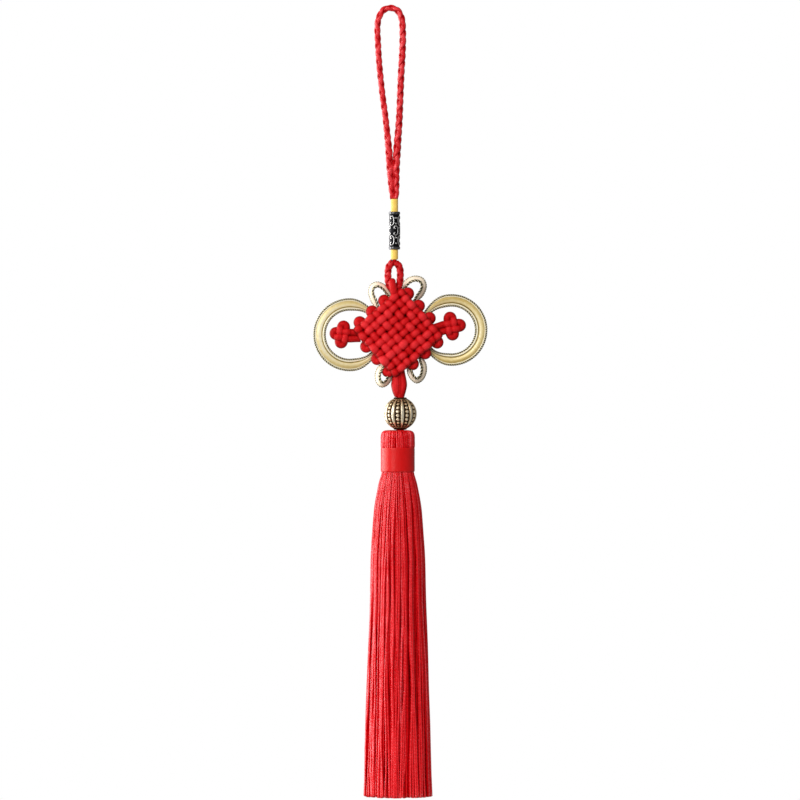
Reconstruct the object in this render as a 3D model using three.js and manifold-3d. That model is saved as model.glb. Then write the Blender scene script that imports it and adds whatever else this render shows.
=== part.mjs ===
// Beaded tassel pendant: a braided hanging loop, a tube bead, a woven knot with gold tape loops,
// a round ribbed bead and a long tassel. Millimetres, +Z up, the front faces -Y.
// The origin is under the crown of the hanging loop, where a hook would carry the pendant.
import * as THREE from "three";
import { mergeVertices } from "three/addons/utils/BufferGeometryUtils.js";
import Module from "manifold-3d";

const wasm = await Module();
wasm.setup();

// Driving dimensions
const FIT = 0.3; // gap between two pieces that touch
const PITCH = 3.62; // from one cord of the weave to the next
const WEAVE_COUNT = 8; // cords each way across the knot
const KNOT_CENTRE = { x: 3.4, z: -142.3 };
const KNOT_TURN = 3.65; // degrees that the knot hangs clockwise of a true diamond
const KNOT_HALF = { rim: 2.9, groove: 3.7, edge: 4.2, crest: 5.2 }; // half thicknesses
const LOOP_RADIUS = { loop: 1.4, neck: 1.5, end: 1.15 }; // braided cord of the hanging loop
const LOOP_SHARE = { end: 0.04, neck: 0.08, open: 0.22 }; // of its length, where those radii hold
const EYE_RADIUS = 1.55;
const BRAID = { sides: 8, step: 1.7, relief: 0.08 };
const NECK = { x: 1.75, top: -83.2, bottom: -109.9 };
const NECK_RADIUS = { core: 0.95, bore: 1.25, sleeve: 1.6 };
const CORE_OVERRUN = 1.7; // the core runs this far into the braid above and below the sleeve
const ROUNDING = 0.4; // rounded length at the ends of turned pieces
const ROUNDED_OFF = { sleeve: 0.1, tube: 0.25, binding: 0.3 }; // taken off their radius there
const TURNED_SIDES = { sleeve: 14, tube: 18, binding: 28 };
const TUBE_BEAD = { top: -88.8, bottom: -105.5, radius: 2.55, bore: 1.9, rim: 0.15, rimLength: 1.4 };
const TAIL_X = 4.3;
const TAIL_RADIUS = 1.8; // both cords together in the bead
const TAIL_CORD = { left: 2.15, right: 1.6 }; // where they bulge above it
const ROUND_BEAD = { z: -178.1, radius: 7.3, height: 14.4, bore: 2.25, lip: 0.9 };
const COLUMNS = { count: 10, recess: 0.55 }; // sunk columns around the round bead
const TASSEL_X = 3.2;
const HEAD = { top: -185.7, shoulder: -187.3, neck: -193.0, bottom: -204.9 };
const HEAD_RADIUS = { top: 5.6, full: 7.4, bound: 6.6, skirt: 7.5 };
const RIDGES = { count: 18, height: 0.2 }; // upright ridges around the head
const BINDING = { top: -193.3, bottom: -203.9, inner: 6.95, outer: 7.6, rounding: 0.6 };
const TASSEL_END = -347.4;
const TAPE = { ring: 5.6, loop: 5.2, edge: 0.6, web: 0.32 }; // widths, half thickness at edge and web
const TAPE_END = 0.56; // share of its width that a tape keeps where it enters the knot
const TAPE_TAPER = { ring: 0.18, loop: 0.22 }; // share of its length where it narrows, each end
const TAPE_STEPS = { ring: 36, loop: 14 };
const SMALL_TILT = 0.5; // radians that a small loop's tape leans out of edge-on

const RED = { color: 0xd0161c, roughness: 0.55, metalness: 0 };
const GOLD_TAPE = { color: 0xe3cf93, roughness: 0.4, metalness: 0.5 };
const DEPTH = new THREE.Vector3(0, 1, 0);

// Shared geometry helpers

function at({ x, y = 0, z }) {
  return new THREE.Vector3(x, y, z);
}

function smoothPath(rows) {
  return new THREE.CatmullRomCurve3(rows.map(at), false, "centripetal");
}

function solidOf(geometry) {
  const bare = geometry.clone();
  bare.deleteAttribute("normal");
  bare.deleteAttribute("uv");
  const merged = mergeVertices(bare, 1e-4);
  const triVerts = new Uint32Array(merged.index.array);
  const vertProperties = merged.attributes.position.array;
  return new wasm.Manifold(new wasm.Mesh({ numProp: 3, vertProperties, triVerts }));
}

function geometryOf(solid) {
  const mesh = solid.getMesh();
  const geometry = new THREE.BufferGeometry();
  geometry.setAttribute("position", new THREE.BufferAttribute(mesh.vertProperties, 3));
  geometry.setIndex(new THREE.BufferAttribute(mesh.triVerts, 1));
  geometry.computeVertexNormals();
  return geometry;
}

function join(geometries) {
  return geometries.map(solidOf).reduce((all, next) => all.add(next));
}

function cutAway(solid, geometries) {
  return geometries.map(solidOf).reduce((rest, tool) => rest.subtract(tool), solid);
}

// Points of a regular polygon, counter-clockwise; radiusAt(side) may differ from side to side.
function polygon(sides, radiusAt) {
  return Array.from({ length: sides }, (_, side) => {
    const turn = (2 * Math.PI * side) / sides;
    return new THREE.Vector2(Math.cos(turn), Math.sin(turn)).multiplyScalar(radiusAt(side));
  });
}

// A plain tube of one thickness along a path.
function tube(path, radius, steps, sides = 6) {
  const section = new THREE.Shape(polygon(sides, () => radius));
  return new THREE.ExtrudeGeometry(section, { steps, bevelEnabled: false, extrudePath: path });
}

// A closed solid whose outline may change along the path. section(t, ring) gives the outline
// counter-clockwise, in the direction flat(t) made square to the path, and the one square to both.
function sweep(path, steps, flat, section) {
  const positions = [];
  const faces = [];
  let outline = [];
  for (let ring = 0; ring <= steps; ring++) {
    const t = ring / steps;
    const centre = path.getPointAt(t);
    const along = path.getTangentAt(t);
    const up = new THREE.Vector3().crossVectors(along, flat(t)).normalize();
    const across = new THREE.Vector3().crossVectors(up, along);
    outline = section(t, ring);
    for (const point of outline) {
      const place = centre.clone().addScaledVector(across, point.x).addScaledVector(up, point.y);
      positions.push(place.x, place.y, place.z);
    }
  }
  const sides = outline.length;
  for (let ring = 0; ring < steps; ring++)
    for (let side = 0; side < sides; side++) {
      const here = ring * sides + side;
      const beside = ring * sides + ((side + 1) % sides);
      faces.push(here, beside, beside + sides, here, beside + sides, here + sides);
    }
  const last = steps * sides;
  for (const [a, b, c] of THREE.ShapeUtils.triangulateShape(outline, [])) {
    faces.push(a, c, b);
    faces.push(last + a, last + b, last + c);
  }
  const geometry = new THREE.BufferGeometry();
  geometry.setAttribute("position", new THREE.Float32BufferAttribute(positions, 3));
  geometry.setIndex(faces);
  return geometry;
}

// A turned body about a vertical line at x; profile rows are { r, z } from bottom to top.
function turned(profile, segments, x = 0) {
  const points = profile.map(({ r, z }) => new THREE.Vector2(r, z));
  const geometry = new THREE.LatheGeometry(points, segments);
  geometry.rotateX(Math.PI / 2);
  geometry.translate(x, 0, 0);
  return geometry;
}

// A turned body with a hole: the outer profile, closed down the bore.
function turnedRing(outer, bore, segments, x = 0) {
  const low = outer[0];
  const high = outer[outer.length - 1];
  const closed = [{ r: bore, z: low.z }, ...outer, { r: bore, z: high.z }, { r: bore, z: low.z }];
  return turned(closed, segments, x);
}

// Moves each point towards or away from a vertical line at x; shift(r, angle, z) is in millimetres.
function moveRadially(geometry, x, shift) {
  const position = geometry.attributes.position;
  for (let i = 0; i < position.count; i++) {
    const dx = position.getX(i) - x;
    const dy = position.getY(i);
    const r = Math.hypot(dx, dy);
    if (r === 0) continue;
    const grown = (r + shift(r, Math.atan2(dy, dx), position.getZ(i))) / r;
    position.setX(i, x + dx * grown);
    position.setY(i, dy * grown);
  }
  return geometry;
}

// Hanging loop, neck core and lower eye

const LOOP_ROUTE = [
  { x: 0.7, z: -83.0 },
  { x: 0.1, z: -80.0 },
  { x: -0.6, z: -70.8 },
  { x: -1.2, z: -61.5 },
  { x: -2.4, z: -47.3 },
  { x: -3.8, z: -35.0 },
  { x: -5.1, z: -21.7 },
  { x: -5.6, z: -12.8 },
  { x: -5.8, z: -7.5 },
  { x: -5.2, z: -3.1 },
  { x: -3.2, z: 0.3 },
  { x: -0.2, z: 1.4 },
  { x: 3.0, z: 0.3 },
  { x: 4.9, z: -3.1 },
  { x: 5.4, z: -8.4 },
  { x: 5.3, z: -17.3 },
  { x: 4.8, z: -26.1 },
  { x: 4.4, z: -35.0 },
  { x: 3.9, z: -47.3 },
  { x: 3.1, z: -61.5 },
  { x: 2.4, z: -70.8 },
  { x: 2.6, z: -80.0 },
  { x: 2.4, z: -83.0 },
];

const EYE_ROUTE = [
  { x: 0.9, z: -111.3 },
  { x: 0.1, z: -112.0 },
  { x: -0.8, z: -113.4 },
  { x: -1.1, z: -115.4 },
  { x: -1.1, z: -118.0 },
  { x: -0.8, z: -120.5 },
  { x: 0.1, z: -122.5 },
  { x: 1.6, z: -123.3 },
  { x: 3.1, z: -122.5 },
  { x: 4.0, z: -120.5 },
  { x: 4.3, z: -118.0 },
  { x: 4.3, z: -115.4 },
  { x: 4.0, z: -113.4 },
  { x: 3.1, z: -112.0 },
  { x: 2.3, z: -111.3 },
];

// Each ring's high points meet the next ring's low points, so the strands cross as diamonds.
function braidedCord(route, radiusAt) {
  const path = smoothPath(route);
  const steps = Math.round(path.getLength() / BRAID.step);
  const section = (t, ring) =>
    polygon(BRAID.sides, (side) => {
      const raised = (ring + side) % 2 === 0 ? 1 : -1;
      return radiusAt(t) * (1 + BRAID.relief * raised);
    });
  return sweep(path, steps, () => DEPTH, section);
}

function hangerCord() {
  const { lerp, smoothstep } = THREE.MathUtils;
  const loopRadius = (t) => {
    const fromEnd = Math.min(t, 1 - t);
    const swell = smoothstep(fromEnd, 0, LOOP_SHARE.end);
    const opened = smoothstep(fromEnd, LOOP_SHARE.neck, LOOP_SHARE.open);
    return lerp(LOOP_RADIUS.end, lerp(LOOP_RADIUS.neck, LOOP_RADIUS.loop, opened), swell);
  };
  const coreTop = at({ x: NECK.x, z: NECK.top + CORE_OVERRUN });
  const coreBottom = at({ x: NECK.x, z: NECK.bottom - CORE_OVERRUN });
  const coreLine = new THREE.LineCurve3(coreTop, coreBottom);
  return join([
    braidedCord(LOOP_ROUTE, loopRadius),
    tube(coreLine, NECK_RADIUS.core, 1, 10),
    braidedCord(EYE_ROUTE, () => EYE_RADIUS),
  ]);
}

// Neck sleeve of wound thread, and the tube bead that it carries

function neckSleeve() {
  const { sleeve, bore } = NECK_RADIUS;
  const outer = [
    { r: sleeve - ROUNDED_OFF.sleeve, z: NECK.bottom },
    { r: sleeve, z: NECK.bottom + ROUNDING },
    { r: sleeve, z: NECK.top - ROUNDING },
    { r: sleeve - ROUNDED_OFF.sleeve, z: NECK.top },
  ];
  return turnedRing(outer, bore, TURNED_SIDES.sleeve, NECK.x);
}

function tubeBead() {
  const { top, bottom, radius, rim, rimLength } = TUBE_BEAD;
  const outer = [
    { r: radius - ROUNDED_OFF.tube, z: bottom },
    { r: radius, z: bottom + ROUNDING },
    { r: radius, z: bottom + rimLength },
    { r: radius - rim, z: bottom + rimLength + ROUNDING },
    { r: radius - rim, z: top - rimLength - ROUNDING },
    { r: radius, z: top - rimLength },
    { r: radius, z: top - ROUNDING },
    { r: radius - ROUNDED_OFF.tube, z: top },
  ];
  return turnedRing(outer, TUBE_BEAD.bore, TURNED_SIDES.tube, NECK.x);
}

// Knot: u counts cords down to the right from the upper left edge, v down to the left from the
// upper right edge, both from 0 to WEAVE_COUNT.

function onKnot(u, v, y) {
  const turn = THREE.MathUtils.degToRad(45 + KNOT_TURN);
  const right = (u - WEAVE_COUNT / 2) * PITCH;
  const left = (v - WEAVE_COUNT / 2) * PITCH;
  const x = KNOT_CENTRE.x + right * Math.cos(turn) - left * Math.sin(turn);
  const z = KNOT_CENTRE.z - right * Math.sin(turn) - left * Math.cos(turn);
  return new THREE.Vector3(x, y, z);
}

// Each crossing is a crest between two grooves, on a grid of three lines to a cord.
const LINES_PER_CORD = [0, 0.27, 0.73]; // their places, as shares of the pitch

// Half thickness of the weave at a grid point.
function weaveHalf(column, row) {
  const perCord = LINES_PER_CORD.length;
  const size = WEAVE_COUNT * perCord;
  if (column === 0 || row === 0 || column === size || row === size) return KNOT_HALF.rim;
  const onColumnLine = column % perCord === 0;
  const onRowLine = row % perCord === 0;
  if (onColumnLine && onRowLine) return KNOT_HALF.groove;
  return onColumnLine || onRowLine ? KNOT_HALF.edge : KNOT_HALF.crest;
}

function wovenBody() {
  const perCord = LINES_PER_CORD.length;
  const size = WEAVE_COUNT * perCord;
  const place = (n) => Math.floor(n / perCord) + LINES_PER_CORD[n % perCord];
  const positions = [];
  for (const face of [-1, 1])
    for (let row = 0; row <= size; row++)
      for (let column = 0; column <= size; column++) {
        const y = face * weaveHalf(column, row);
        positions.push(...onKnot(place(column), place(row), y).toArray());
      }
  const faces = [];
  const line = size + 1;
  const back = line * line;
  for (let row = 0; row < size; row++)
    for (let column = 0; column < size; column++) {
      const a = row * line + column;
      const [b, c, d] = [a + 1, a + line + 1, a + line];
      faces.push(a, d, c, a, c, b);
      faces.push(a + back, c + back, d + back, a + back, b + back, c + back);
    }
  const rim = (from, to) => faces.push(from, to, to + back, from, to + back, from + back);
  for (let n = 0; n < size; n++) {
    rim(n, n + 1);
    rim(n * line + size, (n + 1) * line + size);
    rim(size * line + n + 1, size * line + n);
    rim((n + 1) * line, n * line);
  }
  const geometry = new THREE.BufferGeometry();
  geometry.setAttribute("position", new THREE.Float32BufferAttribute(positions, 3));
  geometry.setIndex(faces);
  return geometry;
}

// A tight turn of cord: out from the root towards the tip and back, the two legs side by side.
function cordTurn(root, tip, radius, legGap) {
  const out = tip.clone().sub(root).normalize();
  const side = new THREE.Vector3().crossVectors(out, DEPTH).multiplyScalar(legGap / 2);
  const neck = tip.clone().addScaledVector(out, -legGap / 2);
  const halfWay = new THREE.Vector3().addVectors(root, neck).multiplyScalar(0.5);
  const slant = Math.SQRT1_2 * (legGap / 2);
  const path = new THREE.CatmullRomCurve3([
    root.clone().add(side),
    halfWay.clone().add(side),
    neck.clone().add(side),
    neck.clone().addScaledVector(side, Math.SQRT1_2).addScaledVector(out, slant),
    tip.clone(),
    neck.clone().addScaledVector(side, -Math.SQRT1_2).addScaledVector(out, slant),
    neck.clone().sub(side),
    halfWay.clone().sub(side),
    root.clone().sub(side),
  ]);
  return tube(path, radius, 7);
}

// Cord turns along the knot's four edges: places count cords from the top or the left corner.
const EAR_PLACES = { left: [2.7, 4.7, 6.7], right: [1.2, 3.2, 5.2] };
const EAR_REACH = 0.34; // cords that the middle of a turn's tip stands out of the edge
const EAR_ROOT = 0.9; // cords that its legs start inside the edge
const EAR_GAP = 2.2;
const EAR_RADIUS = 1.75;

function edgeTurns() {
  const far = WEAVE_COUNT;
  const ear = (from, to) => cordTurn(onKnot(...from, 0), onKnot(...to, 0), EAR_RADIUS, EAR_GAP);
  return [
    ...EAR_PLACES.left.map((v) => ear([EAR_ROOT, v], [-EAR_REACH, v])),
    ...EAR_PLACES.left.map((u) => ear([u, far - EAR_ROOT], [u, far + EAR_REACH])),
    ...EAR_PLACES.right.map((u) => ear([u, EAR_ROOT], [u, -EAR_REACH])),
    ...EAR_PLACES.right.map((v) => ear([far - EAR_ROOT, v], [far + EAR_REACH, v])),
  ];
}

// The top turn passes over the eye of the hanging cord, with one leg in front and one behind.
const TOP_TURN_RADIUS = 1.6;
const EYE_ROOM = EYE_RADIUS * (1 + BRAID.relief) + FIT;

function topTurn() {
  const reach = EYE_ROOM + TOP_TURN_RADIUS;
  const rows = [
    { x: 2.5, y: -2.8, z: -128.6 },
    { x: 1.8, y: -reach, z: -126.0 },
    { x: 1.1, y: -reach, z: -123.4 },
    { x: 0.8, y: -reach * 0.75, z: -121.0 },
    { x: 0.75, y: 0, z: -119.7 },
    { x: 0.8, y: reach * 0.75, z: -121.0 },
    { x: 1.1, y: reach, z: -123.4 },
    { x: 1.8, y: reach, z: -126.0 },
    { x: 2.5, y: 2.8, z: -128.6 },
  ];
  return tube(smoothPath(rows), TOP_TURN_RADIUS, 12, 8);
}

// Side knots of three lobes on a two-cord neck.
const LEFT_SIDE_KNOT = {
  hub: { x: -21.3, z: -143.1 },
  neck: { x: -13.0, z: -143.5 },
  lobes: [
    { x: -27.0, z: -142.2 },
    { x: -20.4, z: -136.9 },
    { x: -21.8, z: -149.4 },
  ],
};
const RIGHT_SIDE_KNOT = {
  hub: { x: 26.9, z: -139.6 },
  neck: { x: 19.6, z: -141.4 },
  lobes: [
    { x: 33.5, z: -138.8 },
    { x: 25.7, z: -132.9 },
    { x: 27.6, z: -145.9 },
  ],
};
const SIDE_KNOT = { cord: 1.6, gap: 2.5, hub: 3.0, depth: 2.8, neckCord: 1.6, neckGap: 2.9 };

function sideKnot({ hub, neck, lobes }) {
  const centre = at(hub);
  const pillow = new THREE.SphereGeometry(1, 8, 5);
  pillow.scale(SIDE_KNOT.hub, SIDE_KNOT.depth, SIDE_KNOT.hub);
  pillow.translate(centre.x, 0, centre.z);
  const neckCords = [-1, 1].map((side) => {
    const offset = new THREE.Vector3(0, 0, (side * SIDE_KNOT.neckGap) / 2);
    const line = new THREE.LineCurve3(centre.clone().add(offset), at(neck).add(offset));
    return tube(line, SIDE_KNOT.neckCord, 1, 8);
  });
  const turns = lobes.map((outer) => {
    const tip = tipCentre(centre, at(outer));
    return cordTurn(centre, tip, SIDE_KNOT.cord, SIDE_KNOT.gap);
  });
  return [pillow, ...neckCords, ...turns];
}

// The middle of the cord at a lobe's tip, one cord radius inside its outer point.
function tipCentre(centre, outer) {
  const out = outer.clone().sub(centre);
  return centre.clone().addScaledVector(out, 1 - SIDE_KNOT.cord / out.length());
}

// Two cords leave the knot's lower corner, close up and run through the bead into the tassel head.
const TAIL_LEFT = [
  { x: 2.4, z: -157.5 },
  { x: 2.7, z: -161.2 },
  { x: 2.4, z: -165.3 },
  { x: 2.7, z: -168.2 },
  { x: 3.3, z: -170.0 },
];
const TAIL_RIGHT = [
  { x: 4.8, z: -157.5 },
  { x: 5.1, z: -161.2 },
  { x: 5.7, z: -165.3 },
  { x: 5.3, z: -168.2 },
  { x: 4.8, z: -170.0 },
];
const TAIL_ROUTE = [
  { x: TAIL_X, z: -169.5 },
  { x: TAIL_X, z: -185.4 },
  { x: 3.9, z: -188.5 },
  { x: 3.5, z: -192.0 },
];

function tail(extra = 0) {
  const grown = TAIL_ROUTE.map(({ x, z }, n) => ({ x, z: n === 3 ? z - extra : z }));
  return tube(smoothPath(grown), TAIL_RADIUS + extra, 6, 10);
}

function knotBody(tapeTools) {
  const body = join([
    wovenBody(),
    ...edgeTurns(),
    topTurn(),
    ...sideKnot(LEFT_SIDE_KNOT),
    ...sideKnot(RIGHT_SIDE_KNOT),
    tube(smoothPath(TAIL_LEFT), TAIL_CORD.left, 6, 8),
    tube(smoothPath(TAIL_RIGHT), TAIL_CORD.right, 6, 8),
    tail(),
  ]);
  const eyeRoom = tube(smoothPath(EYE_ROUTE), EYE_ROOM, 20, 8);
  return cutAway(body, [eyeRoom, ...tapeTools]);
}

// Gold tape: a flat web between two raised edges. grow widens it for the pockets in the knot.
function tapeSection(width, grow) {
  const half = width / 2 + grow;
  const edge = TAPE.edge + grow;
  const web = (grow ? TAPE.edge : TAPE.web) + grow;
  const inner = half - 1.6 * TAPE.edge;
  const corners = [
    [half, -edge],
    [half, edge],
    [inner, web],
    [-inner, web],
    [-half, edge],
    [-half, -edge],
    [-inner, -web],
    [inner, -web],
  ];
  return corners.map(([x, y]) => new THREE.Vector2(x, y));
}

const RINGS = {
  gold_ring_left: { x: -18.0, z: -143.2, r: 13.4, from: 37, to: 329, knotSide: 0 },
  gold_ring_right: { x: 27.0, z: -141.1, r: 13.1, from: -147, to: 155, knotSide: 180 },
};
const RING_DEPTH = 2.9; // how far behind the middle a ring's knot side lies
const POCKET_OVERRUN = 2; // degrees that a ring's pocket runs past the tape's end

class RingPath extends THREE.Curve {
  constructor({ x, z, r, from, to, knotSide }, overrun) {
    super();
    Object.assign(this, { x, z, r, from: from - overrun, to: to + overrun, knotSide });
  }
  getPoint(t, target = new THREE.Vector3()) {
    const turn = THREE.MathUtils.degToRad(THREE.MathUtils.lerp(this.from, this.to, t));
    const fromKnot = turn - THREE.MathUtils.degToRad(this.knotSide);
    const y = (RING_DEPTH * (1 + Math.cos(fromKnot))) / 2;
    return target.set(this.x + this.r * Math.cos(turn), y, this.z + this.r * Math.sin(turn));
  }
}

// A tape's width along its length: full in the middle, narrow where it enters the knot.
function tapeWidth(t, width, share) {
  const fromEnd = Math.min(t, 1 - t);
  const full = THREE.MathUtils.smoothstep(fromEnd, share * 0.2, share);
  return THREE.MathUtils.lerp(TAPE_END, 1, full) * width;
}

function goldRing(row, grow = 0) {
  const path = new RingPath(row, grow ? POCKET_OVERRUN : 0);
  const centre = new THREE.Vector3(row.x, 0, row.z);
  const flat = (t) => path.getPointAt(t).sub(centre).setY(0);
  const section = (t) => tapeSection(tapeWidth(t, TAPE.ring, TAPE_TAPER.ring), grow);
  return sweep(path, TAPE_STEPS.ring, flat, section);
}

const SMALL_LOOPS = {
  gold_loop_upper_left: [
    { x: 1.3, y: 1.0, z: -128.8 },
    { x: 0.1, y: 1.0, z: -126.9 },
    { x: -1.2, y: 0.9, z: -124.4 },
    { x: -3.2, y: 0.5, z: -122.1 },
    { x: -5.8, y: 0.3, z: -121.0 },
    { x: -8.1, y: 0.3, z: -122.2 },
    { x: -8.5, y: 0.5, z: -124.8 },
    { x: -7.4, y: 0.9, z: -127.9 },
    { x: -5.8, y: 1.0, z: -131.0 },
    { x: -4.4, y: 1.0, z: -133.2 },
  ],
  gold_loop_upper_right: [
    { x: 5.6, y: 2.4, z: -125.4 },
    { x: 5.6, y: 2.4, z: -122.9 },
    { x: 6.6, y: 2.2, z: -120.8 },
    { x: 8.4, y: 1.6, z: -119.2 },
    { x: 11.2, y: 0.9, z: -118.4 },
    { x: 13.7, y: 0.4, z: -119.2 },
    { x: 14.7, y: 0.4, z: -121.6 },
    { x: 13.7, y: 0.8, z: -124.6 },
    { x: 11.4, y: 1.0, z: -127.4 },
    { x: 9.4, y: 1.0, z: -129.8 },
  ],
  gold_loop_lower_left: [
    { x: -1.1, y: 1.0, z: -154.2 },
    { x: -3.0, y: 1.0, z: -156.3 },
    { x: -4.7, y: 0.8, z: -158.5 },
    { x: -5.6, y: 0.5, z: -161.2 },
    { x: -5.1, y: 0.3, z: -164.0 },
    { x: -3.6, y: 0.3, z: -165.2 },
    { x: -1.9, y: 0.5, z: -164.5 },
    { x: -0.6, y: 0.8, z: -162.6 },
    { x: 0.2, y: 1.0, z: -160.4 },
    { x: 0.8, y: 1.0, z: -158.4 },
  ],
  gold_loop_lower_right: [
    { x: 12.0, y: 1.0, z: -151.4 },
    { x: 13.3, y: 1.0, z: -153.8 },
    { x: 14.5, y: 0.8, z: -156.4 },
    { x: 14.7, y: 0.5, z: -159.3 },
    { x: 13.6, y: 0.3, z: -162.2 },
    { x: 11.6, y: 0.3, z: -163.4 },
    { x: 9.8, y: 0.5, z: -162.1 },
    { x: 8.7, y: 0.8, z: -160.0 },
    { x: 8.0, y: 1.0, z: -157.8 },
    { x: 7.2, y: 1.0, z: -155.9 },
  ],
};

// The tape of a small loop stands nearly edge-on and leans, so that its outer face shows in front.
function goldLoop(rows, grow = 0) {
  const path = smoothPath(rows);
  const middle = new THREE.Vector3();
  for (const row of rows) middle.addScaledVector(at(row), 1 / rows.length);
  const flat = (t) => {
    const outward = path.getPointAt(t).sub(middle).setY(0).normalize();
    return outward.multiplyScalar(Math.sin(SMALL_TILT)).setY(Math.cos(SMALL_TILT));
  };
  const section = (t) => tapeSection(tapeWidth(t, TAPE.loop, TAPE_TAPER.loop), grow);
  return sweep(path, TAPE_STEPS.loop, flat, section);
}

// Round bead: smooth ribs between sunk columns, bored for the two cords.
function roundBead() {
  const { z, radius, height, bore, lip } = ROUND_BEAD;
  const { count, recess } = COLUMNS;
  const segments = count * 4;
  const half = height / 2;
  const outer = [-90, -66, -44, -15, 15, 44, 66, 90].map((degrees) => {
    const turn = THREE.MathUtils.degToRad(degrees);
    const r = Math.max(bore + lip, radius * Math.cos(turn));
    return { r, z: z + half * Math.sin(turn) };
  });
  const bead = turnedRing(outer, bore, segments, TAIL_X);
  const sunk = (r, angle, height) => {
    if (r < bore + lip + recess || Math.abs(height - z) > 0.93 * half) return 0;
    const part = Math.round((angle / (2 * Math.PI) + 1) * segments) % 4;
    return part === 1 || part === 2 ? -recess : 0;
  };
  return moveRadially(bead, TAIL_X, sunk);
}

// Tassel: a ridged head and rings of locks, fused to the head at their roots.
const SKIRT = [
  { z: HEAD.bottom + 0.6, r: 7.55, outerOnly: false },
  { z: -214.2, r: 9.8, outerOnly: true },
  { z: -230.1, r: 11.6, outerOnly: false },
  { z: -262.0, r: 12.7, outerOnly: true },
  { z: TASSEL_END, r: 15.4, outerOnly: false },
];
// Each ring of locks: its share of the skirt's radius, inside and outside, and its count.
const LOCK_RINGS = [
  { inner: 0.82, outer: 1, count: 46, phase: 0 },
  { inner: 0.61, outer: 0.79, count: 30, phase: 0.5 },
  { inner: 0.4, outer: 0.58, count: 20, phase: 0.2 },
  { inner: 0.2, outer: 0.37, count: 12, phase: 0.7 },
  { inner: 0.03, outer: 0.17, count: 4, phase: 0.3 },
];
// A lock fills a share of its place around the ring; its outer face is narrower than its inner.
// Its end rises by up to twice uneven, and it stands in or out by a share of the radius.
const LOCK = { fill: 0.76, taper: 0.6, uneven: 0.35, proud: 0.012 };

function lock({ inner, outer, phase, count }, index) {
  const isOutside = outer === 1;
  const rows = SKIRT.filter((row) => isOutside || !row.outerOnly);
  const wave = Math.sin(index * 2.4 + phase * 7);
  const middle = ((index + phase) / count) * 2 * Math.PI;
  const half = (Math.PI / count) * LOCK.fill;
  const positions = [];
  for (const { r, z } of rows) {
    const low = z === TASSEL_END ? z + LOCK.uneven * (1 + wave) : z;
    const proud = isOutside ? 1 + LOCK.proud * wave : 1;
    for (const [share, turn] of [
      [inner, middle - half],
      [outer * proud, middle - half * LOCK.taper],
      [outer * proud, middle + half * LOCK.taper],
      [inner, middle + half],
    ])
      positions.push(TASSEL_X + r * share * Math.cos(turn), r * share * Math.sin(turn), low);
  }
  const faces = [0, 1, 2, 0, 2, 3];
  for (let row = 0; row < rows.length - 1; row++)
    for (let side = 0; side < 4; side++) {
      const here = row * 4 + side;
      const beside = row * 4 + ((side + 1) % 4);
      faces.push(here, beside + 4, beside, here, here + 4, beside + 4);
    }
  const last = (rows.length - 1) * 4;
  faces.push(last, last + 2, last + 1, last, last + 3, last + 2);
  const geometry = new THREE.BufferGeometry();
  geometry.setAttribute("position", new THREE.Float32BufferAttribute(positions, 3));
  geometry.setIndex(faces);
  return geometry;
}

function tassel() {
  const segments = RIDGES.count * 2;
  const profile = [
    { r: 0, z: HEAD.bottom },
    { r: HEAD_RADIUS.skirt, z: HEAD.bottom },
    { r: HEAD_RADIUS.bound, z: HEAD.bottom + 0.7 },
    { r: HEAD_RADIUS.bound, z: HEAD.neck },
    { r: HEAD_RADIUS.full, z: HEAD.neck + 0.4 },
    { r: HEAD_RADIUS.full, z: HEAD.shoulder },
    { r: (HEAD_RADIUS.top + HEAD_RADIUS.full) / 2 + 0.5, z: HEAD.top - 0.5 },
    { r: HEAD_RADIUS.top, z: HEAD.top },
    { r: 0, z: HEAD.top },
  ];
  const ridge = (r, angle, z) => {
    if (r < HEAD_RADIUS.top || z < HEAD.neck + 0.1) return 0;
    const step = Math.round((angle / (2 * Math.PI) + 1) * segments);
    return step % 2 === 0 ? RIDGES.height : -RIDGES.height;
  };
  const head = moveRadially(turned(profile, segments, TASSEL_X), TASSEL_X, ridge);
  const ringOfLocks = (ring) => Array.from({ length: ring.count }, (_, n) => lock(ring, n));
  const locks = LOCK_RINGS.flatMap(ringOfLocks);
  return cutAway(join([head, ...locks]), [tail(FIT)]);
}

function tasselBinding() {
  const { top, bottom, inner, outer, rounding } = BINDING;
  const profile = [
    { r: outer - ROUNDED_OFF.binding, z: bottom },
    { r: outer, z: bottom + rounding },
    { r: outer, z: top - rounding },
    { r: outer - ROUNDED_OFF.binding, z: top },
  ];
  return turnedRing(profile, inner, TURNED_SIDES.binding, TASSEL_X);
}

// The pendant
const pendant = new THREE.Group();
pendant.name = "beaded_tassel_pendant";

function addPiece(name, geometry, finish) {
  const mesh = new THREE.Mesh(geometry, new THREE.MeshStandardMaterial(finish));
  mesh.name = name;
  pendant.add(mesh);
}

const pockets = [
  ...Object.values(RINGS).map((row) => goldRing(row, FIT)),
  ...Object.values(SMALL_LOOPS).map((rows) => goldLoop(rows, FIT)),
];
addPiece("hanger_cord", geometryOf(hangerCord()), RED);
addPiece("neck_sleeve", neckSleeve(), { color: 0xf2c64a, roughness: 0.6, metalness: 0 });
addPiece("tube_bead", tubeBead(), { color: 0x4a4844, roughness: 0.35, metalness: 0.8 });
addPiece("knot_body", geometryOf(knotBody(pockets)), RED);
for (const [name, row] of Object.entries(RINGS)) addPiece(name, goldRing(row), GOLD_TAPE);
for (const [name, rows] of Object.entries(SMALL_LOOPS)) addPiece(name, goldLoop(rows), GOLD_TAPE);
addPiece("round_bead", roundBead(), { color: 0xb9a27a, roughness: 0.3, metalness: 0.9 });
addPiece("tassel", geometryOf(tassel()), RED);
addPiece("tassel_binding", tasselBinding(), RED);

export default pendant;
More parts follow.
